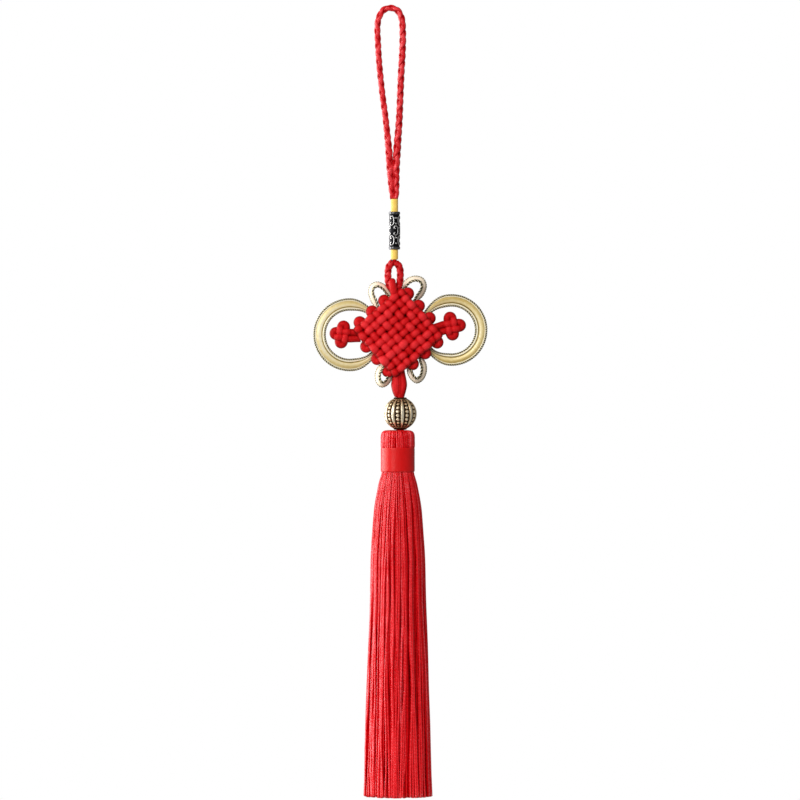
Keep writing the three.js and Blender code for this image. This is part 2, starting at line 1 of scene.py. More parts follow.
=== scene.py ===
"""Dresses the beaded tassel pendant, from the braided loop at its top to the cut end of its tassel.

Lengths here are millimetres in the pendant's own frame, +Z up and the front facing -Y. Skin.piece
makes them metres.
"""
import math

import bpy
import numpy as np
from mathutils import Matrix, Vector


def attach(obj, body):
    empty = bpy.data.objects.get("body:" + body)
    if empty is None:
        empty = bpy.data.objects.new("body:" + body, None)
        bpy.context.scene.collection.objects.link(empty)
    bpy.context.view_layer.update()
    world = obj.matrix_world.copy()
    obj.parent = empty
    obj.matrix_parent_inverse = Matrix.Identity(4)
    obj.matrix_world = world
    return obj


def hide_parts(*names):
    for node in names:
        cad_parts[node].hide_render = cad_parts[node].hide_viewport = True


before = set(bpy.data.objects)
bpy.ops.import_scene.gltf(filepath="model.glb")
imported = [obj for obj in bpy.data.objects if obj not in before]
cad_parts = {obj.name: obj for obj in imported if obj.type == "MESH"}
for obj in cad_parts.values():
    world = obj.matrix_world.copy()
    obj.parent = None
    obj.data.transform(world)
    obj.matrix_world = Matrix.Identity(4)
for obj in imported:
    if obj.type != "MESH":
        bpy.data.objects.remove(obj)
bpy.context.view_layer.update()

MM = 0.001
TURN = 2 * math.pi
DEPTH = np.array([0.0, 1.0, 0.0])
UP = np.array([0.0, 0.0, 1.0])
ACROSS = np.array([1.0, 0.0, 0.0])
chance = np.random.default_rng(11)

# Camera: level and face on, far enough away for nearly parallel sight lines
VIEW_CENTRE = (4.2, 0.0, -172.1)
VIEW_WIDTH = 354.0
CAMERA_DISTANCE = 2400.0
SENSOR = 36.0


def add_camera():
    data = bpy.data.cameras.new("camera")
    data.sensor_width = SENSOR
    data.lens = SENSOR * CAMERA_DISTANCE / VIEW_WIDTH
    data.clip_end = 20
    camera = bpy.data.objects.new("camera", data)
    x, y, z = VIEW_CENTRE
    camera.location = (x * MM, (y - CAMERA_DISTANCE) * MM, z * MM)
    camera.rotation_euler = (math.radians(90), 0, 0)
    bpy.context.scene.collection.objects.link(camera)
    bpy.context.scene.camera = camera


# Geometry helpers


def unit(vectors):
    return vectors / np.linalg.norm(vectors, axis=-1, keepdims=True)


def smoothstep(value, low, high):
    share = np.clip((value - low) / (high - low), 0, 1)
    return share * share * (3 - 2 * share)


def lengths_along(path):
    steps = np.linalg.norm(np.diff(path, axis=0), axis=1)
    return np.concatenate([[0], np.cumsum(steps)])


def even(path, spacing):
    """The path's line again, as points at equal distances."""
    reach = lengths_along(path)
    count = max(2, round(reach[-1] / spacing) + 1)
    at = np.linspace(0, reach[-1], count)
    return np.stack([np.interp(at, reach, path[:, axis]) for axis in range(3)], 1)


def smooth_path(rows, spacing=0.35, closed=False):
    """Points at equal distances on a centripetal Catmull-Rom curve through the rows."""
    rows = np.array(rows, float)
    if closed:
        knots = np.vstack([rows[-1], rows, rows[:2]])
    else:
        knots = np.vstack([2 * rows[0] - rows[1], rows, 2 * rows[-1] - rows[-2]])
    step = np.linalg.norm(np.diff(knots, axis=0), axis=1) ** 0.5
    t = np.linspace(0, 1, 24, endpoint=False)[:, None]
    parts = []
    for n in range(1, len(knots) - 2):
        p0, p1, p2, p3 = knots[n - 1 : n + 3]
        d0, d1, d2 = step[n - 1 : n + 2]
        leave = ((p1 - p0) / d0 - (p2 - p0) / (d0 + d1) + (p2 - p1) / d1) * d1
        arrive = ((p2 - p1) / d1 - (p3 - p1) / (d1 + d2) + (p3 - p2) / d2) * d1
        square = 3 * (p2 - p1) - 2 * leave - arrive
        cube = 2 * (p1 - p2) + leave + arrive
        parts.append(p1 + leave * t + square * t**2 + cube * t**3)
    parts.append(rows[:1] if closed else rows[-1:])
    path = even(np.concatenate(parts), spacing)
    return path[:-1] if closed else path


def flat_route(rows, spacing=0.35):
    """A smooth path through rows of x and z in the plane y = 0."""
    return smooth_path([(x, 0, z) for x, z in rows], spacing)


def frames_of(path, toward, loop=False):
    """Tangent, the direction nearest to toward that is square to it, and the one square to both."""
    if loop:
        tangent = unit(np.roll(path, -1, axis=-2) - np.roll(path, 1, axis=-2))
    else:
        tangent = unit(np.gradient(path, axis=-2))
    toward = np.broadcast_to(toward, path.shape)
    normal = unit(toward - tangent * (toward * tangent).sum(-1, keepdims=True))
    return tangent, normal, np.cross(tangent, normal)


def as_rings(value):
    """A size as a number, or as one for each ring, ready to multiply rings of points."""
    value = np.asarray(value, float)
    return value[..., None, None] if value.ndim else value


def tube_rings(path, toward, radius, other=None, sides=12, loop=False):
    """Rings round a path: radius is the half width along toward, and other the one square to it."""
    _, normal, side = frames_of(path, toward, loop)
    turn = np.linspace(0, TURN, sides, endpoint=False)[:, None]
    other = radius if other is None else other
    outward = normal[..., None, :] * np.cos(turn) * as_rings(radius)
    sideways = side[..., None, :] * np.sin(turn) * as_rings(other)
    return path[..., None, :] + outward + sideways


def strand_tones_and_shade(rings, path, out, thick, tone, spread, relief):
    """A tone that varies by that spread from strand to strand, with painted shade: lighter on their
    outside and darker on their inside, where they meet.
    """
    own = tone + spread * np.asarray(chance.standard_normal(rings.shape[:-3]))[..., None, None]
    facing = ((rings - path[..., None, :]) * out[..., None, :]).sum(-1) / np.asarray(thick)[..., None]
    return own + relief * facing


class Skin:
    """Rings of points gathered into one mesh, with a strand map in mm and a tone for each point."""

    def __init__(self):
        self.points = []
        self.tones = []
        self.faces = {}
        self.maps = {}
        self.count = 0

    def add(self, rings, tone=0.5, loop=False, capped=True):
        """rings is shaped (rings, sides, 3), or (tubes, rings, sides, 3) for many tubes at once."""
        if rings.ndim == 3:
            rings = rings[None]
        tubes, length, sides, _ = rings.shape
        index = self.count + np.arange(tubes * length * sides).reshape(tubes, length, sides)
        middle = rings.mean(axis=2)
        steps = np.linalg.norm(np.roll(middle, -1, axis=1) - middle, axis=2)
        along = np.concatenate([np.zeros((tubes, 1)), np.cumsum(steps, axis=1)], axis=1)
        row = np.arange(length if loop else length - 1)[:, None]
        column = np.arange(sides)[None, :]
        corners = [(0, 0), (0, 1), (1, 1), (1, 0)]
        quads = [index[:, (row + down) % length, (column + right) % sides] for down, right in corners]
        places = []
        for down, right in corners:
            v = np.broadcast_to(along[:, row + down], quads[0].shape)
            u = np.broadcast_to((column + right) / sides, quads[0].shape)
            places.append(np.stack([u, v], -1))
        self.keep(np.stack(quads, -1), np.stack(places, -2))
        if capped and not loop:
            share = np.broadcast_to(np.arange(sides) / sides, (tubes, sides))
            for ends, v in ((index[:, 0, ::-1], along[:, :1]), (index[:, -1], along[:, -2:-1])):
                self.keep(ends, np.stack([share, np.broadcast_to(v, ends.shape)], -1))
        self.points.append(rings.reshape(-1, 3))
        tone = np.asarray(tone, float)
        if tone.ndim == 1:
            tone = tone[:, None, None] if len(tone) == tubes else tone[None, :, None]
        self.tones.append(np.broadcast_to(tone, index.shape).ravel())
        self.count += index.size

    def keep(self, faces, places):
        size = faces.shape[-1]
        self.faces.setdefault(size, []).append(faces.reshape(-1, size))
        self.maps.setdefault(size, []).append(places.reshape(-1, 2))

    def piece(self, name, material, slot, *nodes):
        """Makes the mesh object, which rides on the body and stands for the named solids."""
        mesh = bpy.data.meshes.new(name)
        points = np.concatenate(self.points) * MM
        mesh.vertices.add(len(points))
        mesh.vertices.foreach_set("co", points.astype(np.float32).ravel())
        corners, starts, total = [], [], 0
        for size in sorted(self.faces):
            faces = np.concatenate(self.faces[size])
            starts.append(total + size * np.arange(len(faces)))
            corners.append(faces.ravel())
            total += faces.size
        corners = np.concatenate(corners).astype(np.int32)
        starts = np.concatenate(starts).astype(np.int32)
        mesh.loops.add(len(corners))
        mesh.loops.foreach_set("vertex_index", corners)
        mesh.polygons.add(len(starts))
        mesh.polygons.foreach_set("loop_start", starts)
        mesh.update(calc_edges=True)
        mesh.shade_smooth()
        places = np.concatenate([np.concatenate(self.maps[size]) for size in sorted(self.maps)])
        mesh.uv_layers.new(name="strand").data.foreach_set("uv", places.astype(np.float32).ravel())
        tone = mesh.attributes.new("tone", "FLOAT", "POINT")
        tone.data.foreach_set("value", np.concatenate(self.tones).astype(np.float32))
        mesh.validate()
        mesh.materials.append(material)
        made = bpy.data.objects.new(name, mesh)
        bpy.context.scene.collection.objects.link(made)
        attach(made, "root")
        if nodes:
            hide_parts(*nodes)


def turned_rings(profile, sides, x=0.0, shift=None):
    """A turned body about a vertical line at x, its closed profile given as rows of radius and z,
    up the outside and down the inside. shift(angle, z, radius) moves points outwards."""
    profile = np.array(profile, float)
    angle = np.linspace(0, TURN, sides, endpoint=False)[None, :]
    radius = np.repeat(profile[:, :1], sides, axis=1)
    height = np.repeat(profile[:, 1:], sides, axis=1)
    if shift is not None:
        radius = radius + shift(angle, height, radius)
    return np.stack([x + radius * np.cos(angle), radius * np.sin(angle), height], -1)


def finer(rows, spacing):
    """Rows of radius and z with more rows between, on straight lines."""
    path = np.array([(r, 0, z) for r, z in rows], float)
    out = []
    for start, end in zip(path[:-1], path[1:]):
        count = max(1, math.ceil(np.linalg.norm(end - start) / spacing))
        out.extend(start + (end - start) * k / count for k in range(count))
    out.append(path[-1])
    return np.array(out)[:, [0, 2]]


# Finishes


NOISE_DETAIL = 3.0
SHINE_SPAN = (0.25, 0.8)  # shades between which the reflection grows from none to full


class Finish:
    """One material's nodes, with short calls for what the finishes share."""

    def __init__(self, name, sockets):
        self.material = bpy.data.materials.new(name)
        self.material.use_nodes = True
        self.tree = self.material.node_tree
        self.shader = self.tree.nodes["Principled BSDF"]
        for socket, value in sockets.items():
            self.shader.inputs[socket].default_value = value
        strand_map = self.node("ShaderNodeUVMap", uv_map="strand")
        self.strand = self.node("ShaderNodeSeparateXYZ", {0: strand_map})
        self.place = self.node("ShaderNodeTexCoord").outputs["Object"]

    def node(self, kind, inputs=None, **settings):
        made = self.tree.nodes.new(kind)
        for key, value in settings.items():
            setattr(made, key, value)
        for key, value in (inputs or {}).items():
            self.feed(made.inputs[key], value)
        return made

    def feed(self, socket, value):
        if isinstance(value, bpy.types.Node):
            value = value.outputs[0]
        if isinstance(value, bpy.types.NodeSocket):
            self.tree.links.new(value, socket)
        else:
            socket.default_value = value

    def math(self, operation, *values):
        return self.node("ShaderNodeMath", dict(enumerate(values)), operation=operation).outputs[0]

    def tone(self):
        return self.node("ShaderNodeAttribute", attribute_name="tone").outputs["Fac"]

    def noise(self, size):
        """Noise from 0 to 1 with patches of about size mm."""
        inputs = {"Vector": self.place, "Scale": 1 / (size * MM), "Detail": NOISE_DETAIL}
        return self.node("ShaderNodeTexNoise", inputs).outputs["Fac"]

    def wave(self, turns, pitch, start=0.0):
        """A wave on the strand map: turns crests around it, and one each pitch mm along it."""
        around = self.math("MULTIPLY_ADD", self.strand.outputs["X"], turns * TURN, start)
        phase = self.math("MULTIPLY_ADD", self.strand.outputs["Y"], TURN / pitch, around)
        return self.math("SINE", phase)

    def varied(self, value, noise, amount):
        """The value plus noise of that amount about its middle."""
        return self.math("ADD", value, self.math("MULTIPLY_ADD", noise, amount, -amount / 2))

    def mapped(self, factor, low, high, start=0.0, end=1.0):
        """The factor's range from start to end, as one from low to high."""
        inputs = {"Value": factor, "From Min": start, "From Max": end, "To Min": low, "To Max": high}
        return self.node("ShaderNodeMapRange", inputs).outputs["Result"]

    def colour(self, factor, stops):
        ramp = self.node("ShaderNodeValToRGB", {"Fac": factor})
        elements = ramp.color_ramp.elements
        for place, _ in stops[1:-1]:
            elements.new(place)
        for element, (place, shade) in zip(elements, stops):
            element.position = place
            element.color = (*shade, 1)
        self.feed(self.shader.inputs["Base Color"], ramp.outputs["Color"])

    def bump(self, height, depth):
        """Bump of that depth in mm."""
        inputs = {"Height": height, "Distance": depth * MM, "Strength": 1.0}
        self.feed(self.shader.inputs["Normal"], self.node("ShaderNodeBump", inputs).outputs["Normal"])


# Patterns for thread: each gives what goes into the colour, where its crests are painted lighter as
# painted shade of the plies, and the height for the bump


def plaits(finish):
    """A fine braided skin."""
    crossed = finish.math("MULTIPLY", finish.wave(7, 1.3), finish.wave(-7, 1.3))
    return crossed, crossed


def long_threads(finish):
    """Many lengthwise threads in a silky strand."""
    threads = finish.wave(9, 5.0)
    return threads, threads


def twisted_threads(finish):
    """A fine twist that wanders, whose crests are painted lighter in the colour as painted highlights,
    and threads along it in the bump alone.
    """
    twist = finish.wave(1, 1.5, finish.math("MULTIPLY", finish.noise(3), 20))
    return twist, finish.math("MULTIPLY_ADD", finish.wave(6, 9.0), 0.3, twist)


TAPE_WEB = {"mottle": (1.2, 0.3), "rough": (0.9, 0.3, 0.5), "grain": (0.25, 0.02)}
# Rows of each material: noise in its shade (patch size in mm and amount), its colours by shade,
# roughness (patch size, least and most), a pattern's share in the colour, which paints its crests
# lighter as painted shade, and depth, plain grain's patch size and depth, and the reflection where
# it is light, which fades in the hollows
FINISHES = {
    "red_cord": {
        "sockets": {"Specular IOR Level": 0.35, "Specular Tint": (1.0, 0.32, 0.3, 1.0)},
        "mottle": (1.2, 0.35),
        "stops": [(0.0, (0.24, 0.001, 0.001)), (0.5, (0.54, 0.005, 0.007)), (1.0, (0.76, 0.030, 0.036))],
        "rough": (0.7, 0.42, 0.62), "pattern": (plaits, 0.05, 0.035),
    },
    "braided_cord": {
        "sockets": {"Specular Tint": (1.0, 0.7, 0.72, 1.0)}, "mottle": (1.2, 0.4),
        "stops": [(0.0, (0.26, 0.001, 0.002)), (0.5, (0.56, 0.006, 0.009)), (1.0, (0.86, 0.05, 0.06))],
        "rough": (0.6, 0.24, 0.42), "pattern": (long_threads, 0.06, 0.02), "shine": 1.0,
    },
    "tassel_thread": {
        "sockets": {"Specular Tint": (1.0, 0.76, 0.8, 1.0)}, "mottle": (4, 0.24),
        "stops": [
            (0.0, (0.28, 0.0, 0.001)), (0.45, (0.56, 0.001, 0.003)), (0.8, (0.82, 0.018, 0.024)),
            (1.0, (0.97, 0.11, 0.13)),
        ],
        "rough": (1.5, 0.2, 0.33), "pattern": (twisted_threads, 0.07, 0.018), "shine": 0.85,
    },
    "binding_thread": {
        "sockets": {"Specular Tint": (1.0, 0.8, 0.74, 1.0)}, "base": 0.5, "mottle": (2.5, 0.4),
        "stops": [(0.0, (0.48, 0.002, 0.003)), (0.5, (0.62, 0.003, 0.004)), (1.0, (0.76, 0.008, 0.010))],
        "rough": (1.0, 0.32, 0.42), "grain": (0.25, 0.008),
    },
    "gold_thread": {
        "sockets": {"Sheen Weight": 0.1}, "base": 0.5, "mottle": (1.5, 0.5),
        "stops": [(0.0, (0.72, 0.38, 0.04)), (0.5, (0.88, 0.58, 0.11)), (1.0, (0.95, 0.72, 0.24))],
        "rough": (0.8, 0.38, 0.6), "grain": (0.2, 0.02),
    },
    "gold_tape": {
        "sockets": {"Metallic": 0.25},
        "stops": [
            (0.05, (0.09, 0.068, 0.015)), (0.4, (0.56, 0.40, 0.12)), (0.7, (0.84, 0.69, 0.34)),
            (1.0, (0.98, 0.92, 0.72)),
        ],
        **TAPE_WEB,
    },
    "rose_gold_tape": {
        "sockets": {},
        "stops": [
            (0.05, (0.16, 0.09, 0.03)), (0.4, (0.80, 0.56, 0.30)), (0.7, (1.0, 0.81, 0.58)),
            (1.0, (1.0, 0.91, 0.77)),
        ],
        **TAPE_WEB,
    },
    "tape_edge": {
        "sockets": {"Metallic": 0.6}, "mottle": (0.8, 0.4),
        "stops": [(0.1, (0.035, 0.03, 0.01)), (0.5, (0.36, 0.27, 0.09)), (0.9, (0.95, 0.86, 0.56))],
        "rough": (0.5, 0.25, 0.42),
    },
    "antique_gold": {
        "sockets": {"Metallic": 0.65}, "mottle": (0.8, 0.35),
        "stops": [
            (0.12, (0.030, 0.013, 0.005)), (0.45, (0.38, 0.24, 0.10)), (0.75, (0.90, 0.72, 0.45)),
            (1.0, (1.0, 0.93, 0.76)),
        ],
        "rough": (0.5, 0.24, 0.4), "grain": (0.35, 0.025),
    },
    "dark_silver": {
        "sockets": {"Metallic": 0.9}, "mottle": (0.5, 0.5),
        "stops": [
            (0.2, (0.012, 0.012, 0.014)), (0.5, (0.13, 0.13, 0.14)), (0.72, (0.62, 0.61, 0.60)),
            (1.0, (0.93, 0.92, 0.90)),
        ],
        "rough": (0.4, 0.18, 0.4), "grain": (0.3, 0.03),
    },
}


def finished(name):
    """The material of that row of FINISHES."""
    row = FINISHES[name]
    finish = Finish(name, row["sockets"])
    size, amount = row["mottle"]
    base = row["base"] if "base" in row else finish.tone()
    shade = finish.varied(base, finish.noise(size), amount)
    in_colour = shade
    if "pattern" in row:
        pattern, share, depth = row["pattern"]
        painted_ply_shade, height = pattern(finish)
        in_colour = finish.math("MULTIPLY_ADD", painted_ply_shade, share, shade)
        finish.bump(height, depth)
    if "grain" in row:
        size, depth = row["grain"]
        finish.bump(finish.noise(size), depth)
    if "shine" in row:
        reflection = finish.mapped(shade, 0.0, row["shine"], *SHINE_SPAN)
        finish.feed(finish.shader.inputs["Specular IOR Level"], reflection)
    finish.colour(in_colour, row["stops"])
    size, least, most = row["rough"]
    finish.feed(finish.shader.inputs["Roughness"], finish.mapped(finish.noise(size), least, most))
    return finish.material


# Hanging loop, neck core and lower eye

LOOP_ROUTE = [
    (1.0, -83.0), (0.6, -80.0), (-0.15, -70.8), (-0.75, -61.5), (-2.2, -47.3), (-3.8, -35.0),
    (-5.1, -21.7), (-5.6, -12.8), (-5.8, -7.5), (-5.2, -3.1), (-3.2, 0.3), (-0.2, 1.4), (3.0, 0.3),
    (4.9, -3.1), (5.4, -8.4), (5.3, -17.3), (4.8, -26.1), (4.4, -35.0), (3.9, -47.3), (2.9, -61.5),
    (2.5, -70.8), (2.6, -80.0), (2.4, -83.0),
]
# Rows of the share of the cord's length, from its left foot, and its radius there
LOOP_RADII = [
    (0.00, 1.15), (0.04, 1.45), (0.08, 1.58), (0.12, 1.64), (0.17, 1.44), (0.24, 1.38), (0.45, 1.40),
    (0.60, 1.52), (0.78, 1.52), (0.83, 1.62), (0.88, 1.76), (0.92, 1.62), (0.96, 1.45), (1.00, 1.15),
]
EYE_X = 1.6
EYE_FOOT = -123.3
EYE_LEFT = [
    (0.9, -111.3), (0.1, -112.0), (-0.8, -113.4), (-1.1, -115.4), (-1.1, -118.0), (-0.8, -120.5),
    (0.1, -122.5),
]
EYE_ROUTE = [*EYE_LEFT, (EYE_X, EYE_FOOT), *((2 * EYE_X - x, z) for x, z in EYE_LEFT[::-1])]
EYE_RADII = [(0.0, 1.6), (1.0, 1.6)]
NECK_X = 1.75
NECK_TOP = -83.2
NECK_BOTTOM = -109.9
CORE_RADIUS = 0.95
CORE_OVERRUN = 1.7  # the core runs this far into the braid above and below the sleeve
# Lengths in which a strand goes once round the cord
LOOP_PERIOD = 13.5
EYE_PERIOD = 8.5
# Shares of the cord's radius: the strands' middle, rise, half thickness and width, and the core
BRAID = {"middle": 0.5, "rise": 0.17, "thick": 0.42, "wide": 0.66, "core": 0.66}
# The strands' tone, its spread from strand to strand, and how much lighter their outside is painted, as
# painted shade
LOOP_SHADE = (0.34, 0.1, 0.32)
EYE_SHADE = (0.24, 0.1, 0.32)


def braid(skin, route, radii, period, shade):
    """Two strands each way round the route, each over one and under the next."""
    path = flat_route(route, 0.3)
    radius = np.interp(np.linspace(0, 1, len(path)), *zip(*radii))
    wind = TURN * lengths_along(path) / period
    _, normal, side = frames_of(path, DEPTH)
    for way in (1, -1):
        for start in (0, math.pi):
            angle = (way * wind + start + math.pi / 4)[:, None]
            out = normal * np.cos(angle) + side * np.sin(angle)
            lift = BRAID["middle"] + way * BRAID["rise"] * np.cos(2 * wind)
            centre = path + out * (radius * lift)[:, None]
            thick = radius * BRAID["thick"]
            rings = tube_rings(centre, out, thick, radius * BRAID["wide"], sides=12)
            skin.add(rings, tone=strand_tones_and_shade(rings, centre, out, thick, *shade))
    # The core between the strands is painted dark, as the shade inside the braid
    skin.add(tube_rings(path, DEPTH, radius * BRAID["core"], sides=10), tone=0.1)


def hanger_cord(material):
    skin = Skin()
    braid(skin, LOOP_ROUTE, LOOP_RADII, LOOP_PERIOD, LOOP_SHADE)
    braid(skin, EYE_ROUTE, EYE_RADII, EYE_PERIOD, EYE_SHADE)
    ends = [(NECK_X, 0, NECK_BOTTOM - CORE_OVERRUN), (NECK_X, 0, NECK_TOP + CORE_OVERRUN)]
    skin.add(tube_rings(even(np.array(ends), 1.0), DEPTH, CORE_RADIUS), tone=0.3)
    skin.piece("hanging_cord", material, "red_cord", "hanger_cord")


# Neck sleeve of wound thread, and the tube bead

# Rows of radius and distance from the end, both ends alike
SLEEVE_END = [(1.5, 0.0), (1.6, 0.3)]
SLEEVE_BORE = 1.25
SLEEVE_THREAD = (0.45, 0.03)  # pitch and depth


def end_to_end(rows, bottom, top):
    """A turned outline from bottom to top whose two ends have those rows."""
    return [(r, bottom + rise) for r, rise in rows] + [(r, top - rise) for r, rise in rows[::-1]]


def winding(pitch, depth):
    """The ripple of thread wound at that pitch."""
    return lambda angle, z, radius: depth * np.cos(TURN * z / pitch - angle)


def neck_sleeve(material):
    outer = finer(end_to_end(SLEEVE_END, NECK_BOTTOM, NECK_TOP), 0.09)
    rows = [(SLEEVE_BORE, NECK_BOTTOM), *outer, (SLEEVE_BORE, NECK_TOP)]
    skin = Skin()
    skin.add(turned_rings(rows, 40, NECK_X, winding(*SLEEVE_THREAD)), loop=True)
    skin.piece("neck_winding", material, "gold_thread", "neck_sleeve")


TUBE_TOP = -88.8
TUBE_BOTTOM = -105.5
TUBE_RADIUS = 2.55
TUBE_BORE = 1.9
TUBE_END = [(2.25, 0.0), (2.45, 0.1), (TUBE_RADIUS, 0.35)]
TUBE_RIM = 1.2  # length of the plain rim at each end
TUBE_GROUND = 0.3  # depth of the ground below the relief and rims
# Coils, height and distance up of the scrolls, their columns and the first one's place, and the
# distances between which the relief falls away
SCROLL = {"turns": 1.75, "height": 4.1, "rise": 4.35, "columns": 4, "start": 0.2, "soft": (0.08, 0.38)}
SCROLL_DOTS = [(1.6, 1.2), (1.9, -1.3)]
SCROLL_DOT_RADIUS = 0.12


def scroll(turns, height):
    """An S-shaped scroll, a clothoid with a coil at each end, that tall and centred at 0, 0."""
    t = np.linspace(-turns, turns, 70)
    step = t[1] - t[0]
    heading = math.pi / 2 * t * t * np.sign(t) + math.pi / 2
    line = np.cumsum(np.stack([np.cos(heading), np.sin(heading)], 1) * step, axis=0)
    line -= (line.max(0) + line.min(0)) / 2
    return line * height / np.ptp(line[:, 1])


def tube_relief(angle, z):
    """Height of the scrollwork from 0 to 1 at each point of the tube bead."""
    girth = TURN * TUBE_RADIUS
    across = angle / TURN * girth
    middle = (TUBE_TOP + TUBE_BOTTOM) / 2
    columns = SCROLL["columns"]
    marks = [(x, y, 0.0) for x, y in scroll(SCROLL["turns"], SCROLL["height"])]
    marks += [(x, y, SCROLL_DOT_RADIUS) for x, y in SCROLL_DOTS]
    nearest = np.full(z.shape, girth)
    for column in range(columns):
        for row in range(-1, 2):
            x0 = (column + 0.5 * (row % 2) + SCROLL["start"]) * girth / columns
            z0 = middle + row * SCROLL["rise"]
            flip = 1 if (column + row) % 2 else -1
            for x, y, thick in marks:
                dx = (across - x0 - flip * x + girth / 2) % girth - girth / 2
                nearest = np.minimum(nearest, np.hypot(dx, z - z0 - y) - thick)
    return 1 - smoothstep(nearest, *SCROLL["soft"])


def tube_bead(material):
    outer = finer(end_to_end(TUBE_END, TUBE_BOTTOM, TUBE_TOP), 0.085)
    rows = np.array([(TUBE_BORE, TUBE_BOTTOM), *outer, (TUBE_BORE, TUBE_TOP)])
    sides = 150
    angle = np.linspace(0, TURN, sides, endpoint=False)[None, :] + 0 * rows[:, :1]
    height = rows[:, 1:] + 0 * angle
    relief = tube_relief(angle, height)
    inset = np.minimum(height - TUBE_BOTTOM, TUBE_TOP - height)
    rim = 1 - smoothstep(inset, TUBE_RIM - 0.15, TUBE_RIM + 0.1)
    raised = np.maximum(relief * (1 - rim), rim * 0.85)
    inside = rows[:, :1] + 0 * angle < TUBE_BORE + 0.01
    sunk = np.where(inside, 0, (raised - 1) * TUBE_GROUND)
    # The bore is painted darkest, as the shade inside it
    tone = np.where(inside, 0.1, np.maximum(0.95 * raised * (1 - rim), 0.5 * rim))
    skin = Skin()
    skin.add(turned_rings(rows, sides, NECK_X, lambda *_: sunk), tone=tone[None], loop=True)
    skin.piece("tube_bead_relief", material, "dark_silver", "tube_bead")


# Woven knot. u counts its cords down to the right from the upper left edge, v down to the left.

PITCH = 3.62
WEAVE_COUNT = 8
KNOT_CENTRE = np.array([3.4, 0.0, -142.3])
KNOT_TURN = math.radians(45 + 3.65)
ALONG_U = np.array([math.cos(KNOT_TURN), 0, -math.sin(KNOT_TURN)])
ALONG_V = np.array([-math.sin(KNOT_TURN), 0, -math.cos(KNOT_TURN)])
CORD_RADIUS = 1.6
CORD_SPREAD = 1.09  # the cords are pressed this much wider than they are thick
WEAVE = {"middle": 2.3, "rise": 1.5}  # a layer's middle, and how far its cords rise and dip
EDGE_SINK = 0.9  # how much nearer the layers are at the knot's edges
EDGE_INSET = 0.43  # cords from the edge at which a cord turns to the back
EDGE_BOW = 0.12  # cords by which it bows outwards there
# What differs by chance from cord to cord
PLUMP = 0.13
SWAY = 0.035
BEND = 0.05
INNER_INSET = 0.6  # cords inside the edge at which the inner cords end
INNER_DEPTH = 1.2  # their half depth
# Painted shade on the knot's cords: depths in mm where a cord is darkest and lightest, and its tones
# there
PAINTED_SHADE_TONES = {
    "weave": (2.8, 5.3, 0.06, 0.76),
    "edge": (0.2, 2.4, 0.08, 0.6),
    "upright": (0.4, 2.6, 0.12, 0.68),
    "level": (0.4, 2.6, 0.1, 0.6),
    "tail": (0.9, 2.4, 0.1, 0.75),
}


def on_knot(u, v, y=0.0):
    u = np.asarray(u, float)[..., None] - WEAVE_COUNT / 2
    v = np.asarray(v, float)[..., None] - WEAVE_COUNT / 2
    y = np.asarray(y, float)[..., None]
    return KNOT_CENTRE + PITCH * (u * ALONG_U + v * ALONG_V) + y * DEPTH


def painted_depth_shade(rings, near, far, dark, light):
    """Painted shade: dark where a cord's skin lies near the middle of the knot's depth, in the gaps
    between cords, and light far from it.
    """
    return dark + (light - dark) * smoothstep(np.abs(rings[..., 1]), near, far)


def woven_line(first_over, wobble):
    """One cord's flat loop: places along it, in cords, and y; over the front and back again."""
    near, far = EDGE_INSET, WEAVE_COUNT - EDGE_INSET
    along = np.linspace(near + EDGE_BOW, far - EDGE_BOW, 150)
    sign = 1 if first_over else -1
    rise = WEAVE["rise"] * np.interp(along, np.arange(WEAVE_COUNT) + 0.5, wobble)
    sink = EDGE_SINK * np.abs(along / (WEAVE_COUNT / 2) - 1) ** 3
    front = WEAVE["middle"] - sink + sign * rise * np.cos(math.pi * (along - 0.5))
    turn_y = np.linspace(-1, 1, 9)[1:-1]
    bow = EDGE_BOW * np.abs(turn_y) ** 4
    first = np.stack([near + bow, -turn_y * front[0]], 1)
    last = np.stack([far - bow, turn_y * front[-1]], 1)
    out = np.stack([along, -front], 1)
    back = np.stack([along[::-1], front[::-1]], 1)
    return np.concatenate([out, last, back, first[::-1] * [1, -1]])


def woven_cords(skin):
    """The cords of both faces, painted lightest where they bulge out and dark in the gaps between them,
    as painted shade.
    """
    middles = np.arange(WEAVE_COUNT) + 0.5
    for way in ("u", "v"):
        for place in range(WEAVE_COUNT):
            over = (place % 2 == 0) if way == "u" else (place % 2 == 1)
            plump = 1 + PLUMP * chance.standard_normal(WEAVE_COUNT)
            line = woven_line(over, plump)
            sway = SWAY * chance.standard_normal()
            bend = BEND * np.sin(line[:, 0] * 1.9 + chance.uniform(0, TURN))
            steady = np.full(len(line), place + 0.5) + sway + bend
            u, v = (line[:, 0], steady) if way == "u" else (steady, line[:, 0])
            path = on_knot(u, v, line[:, 1])
            closed = even(np.vstack([path, path[:1]]), 0.45)[:-1]
            ahead, toward = (ALONG_U, ALONG_V) if way == "u" else (ALONG_V, ALONG_U)
            along = (closed - KNOT_CENTRE) @ ahead / PITCH + WEAVE_COUNT / 2
            size = np.interp(along, middles, plump)
            radius = CORD_RADIUS * (0.6 + 0.4 * size)
            rings = tube_rings(closed, toward, radius * CORD_SPREAD, radius, sides=20, loop=True)
            # Plumper stretches of a cord are painted lighter, a painted light where they stand out, plus
            # a random tone for each cord
            shade = 0.6 * (size[:, None] - 1) + 0.05 * chance.standard_normal()
            skin.add(rings, tone=painted_depth_shade(rings, *PAINTED_SHADE_TONES["weave"]) + shade, loop=True)


def inner_cords(skin):
    """The cords between the two faces, which close the view through the weave, painted darkest as the
    shade inside the knot.
    """
    half = WEAVE_COUNT / 2
    path = even(on_knot([INNER_INSET, WEAVE_COUNT - INNER_INSET], [half, half]), 1.0)
    width = (half - INNER_INSET) * PITCH
    skin.add(tube_rings(path, ALONG_V, width, INNER_DEPTH, sides=24), tone=0.0)


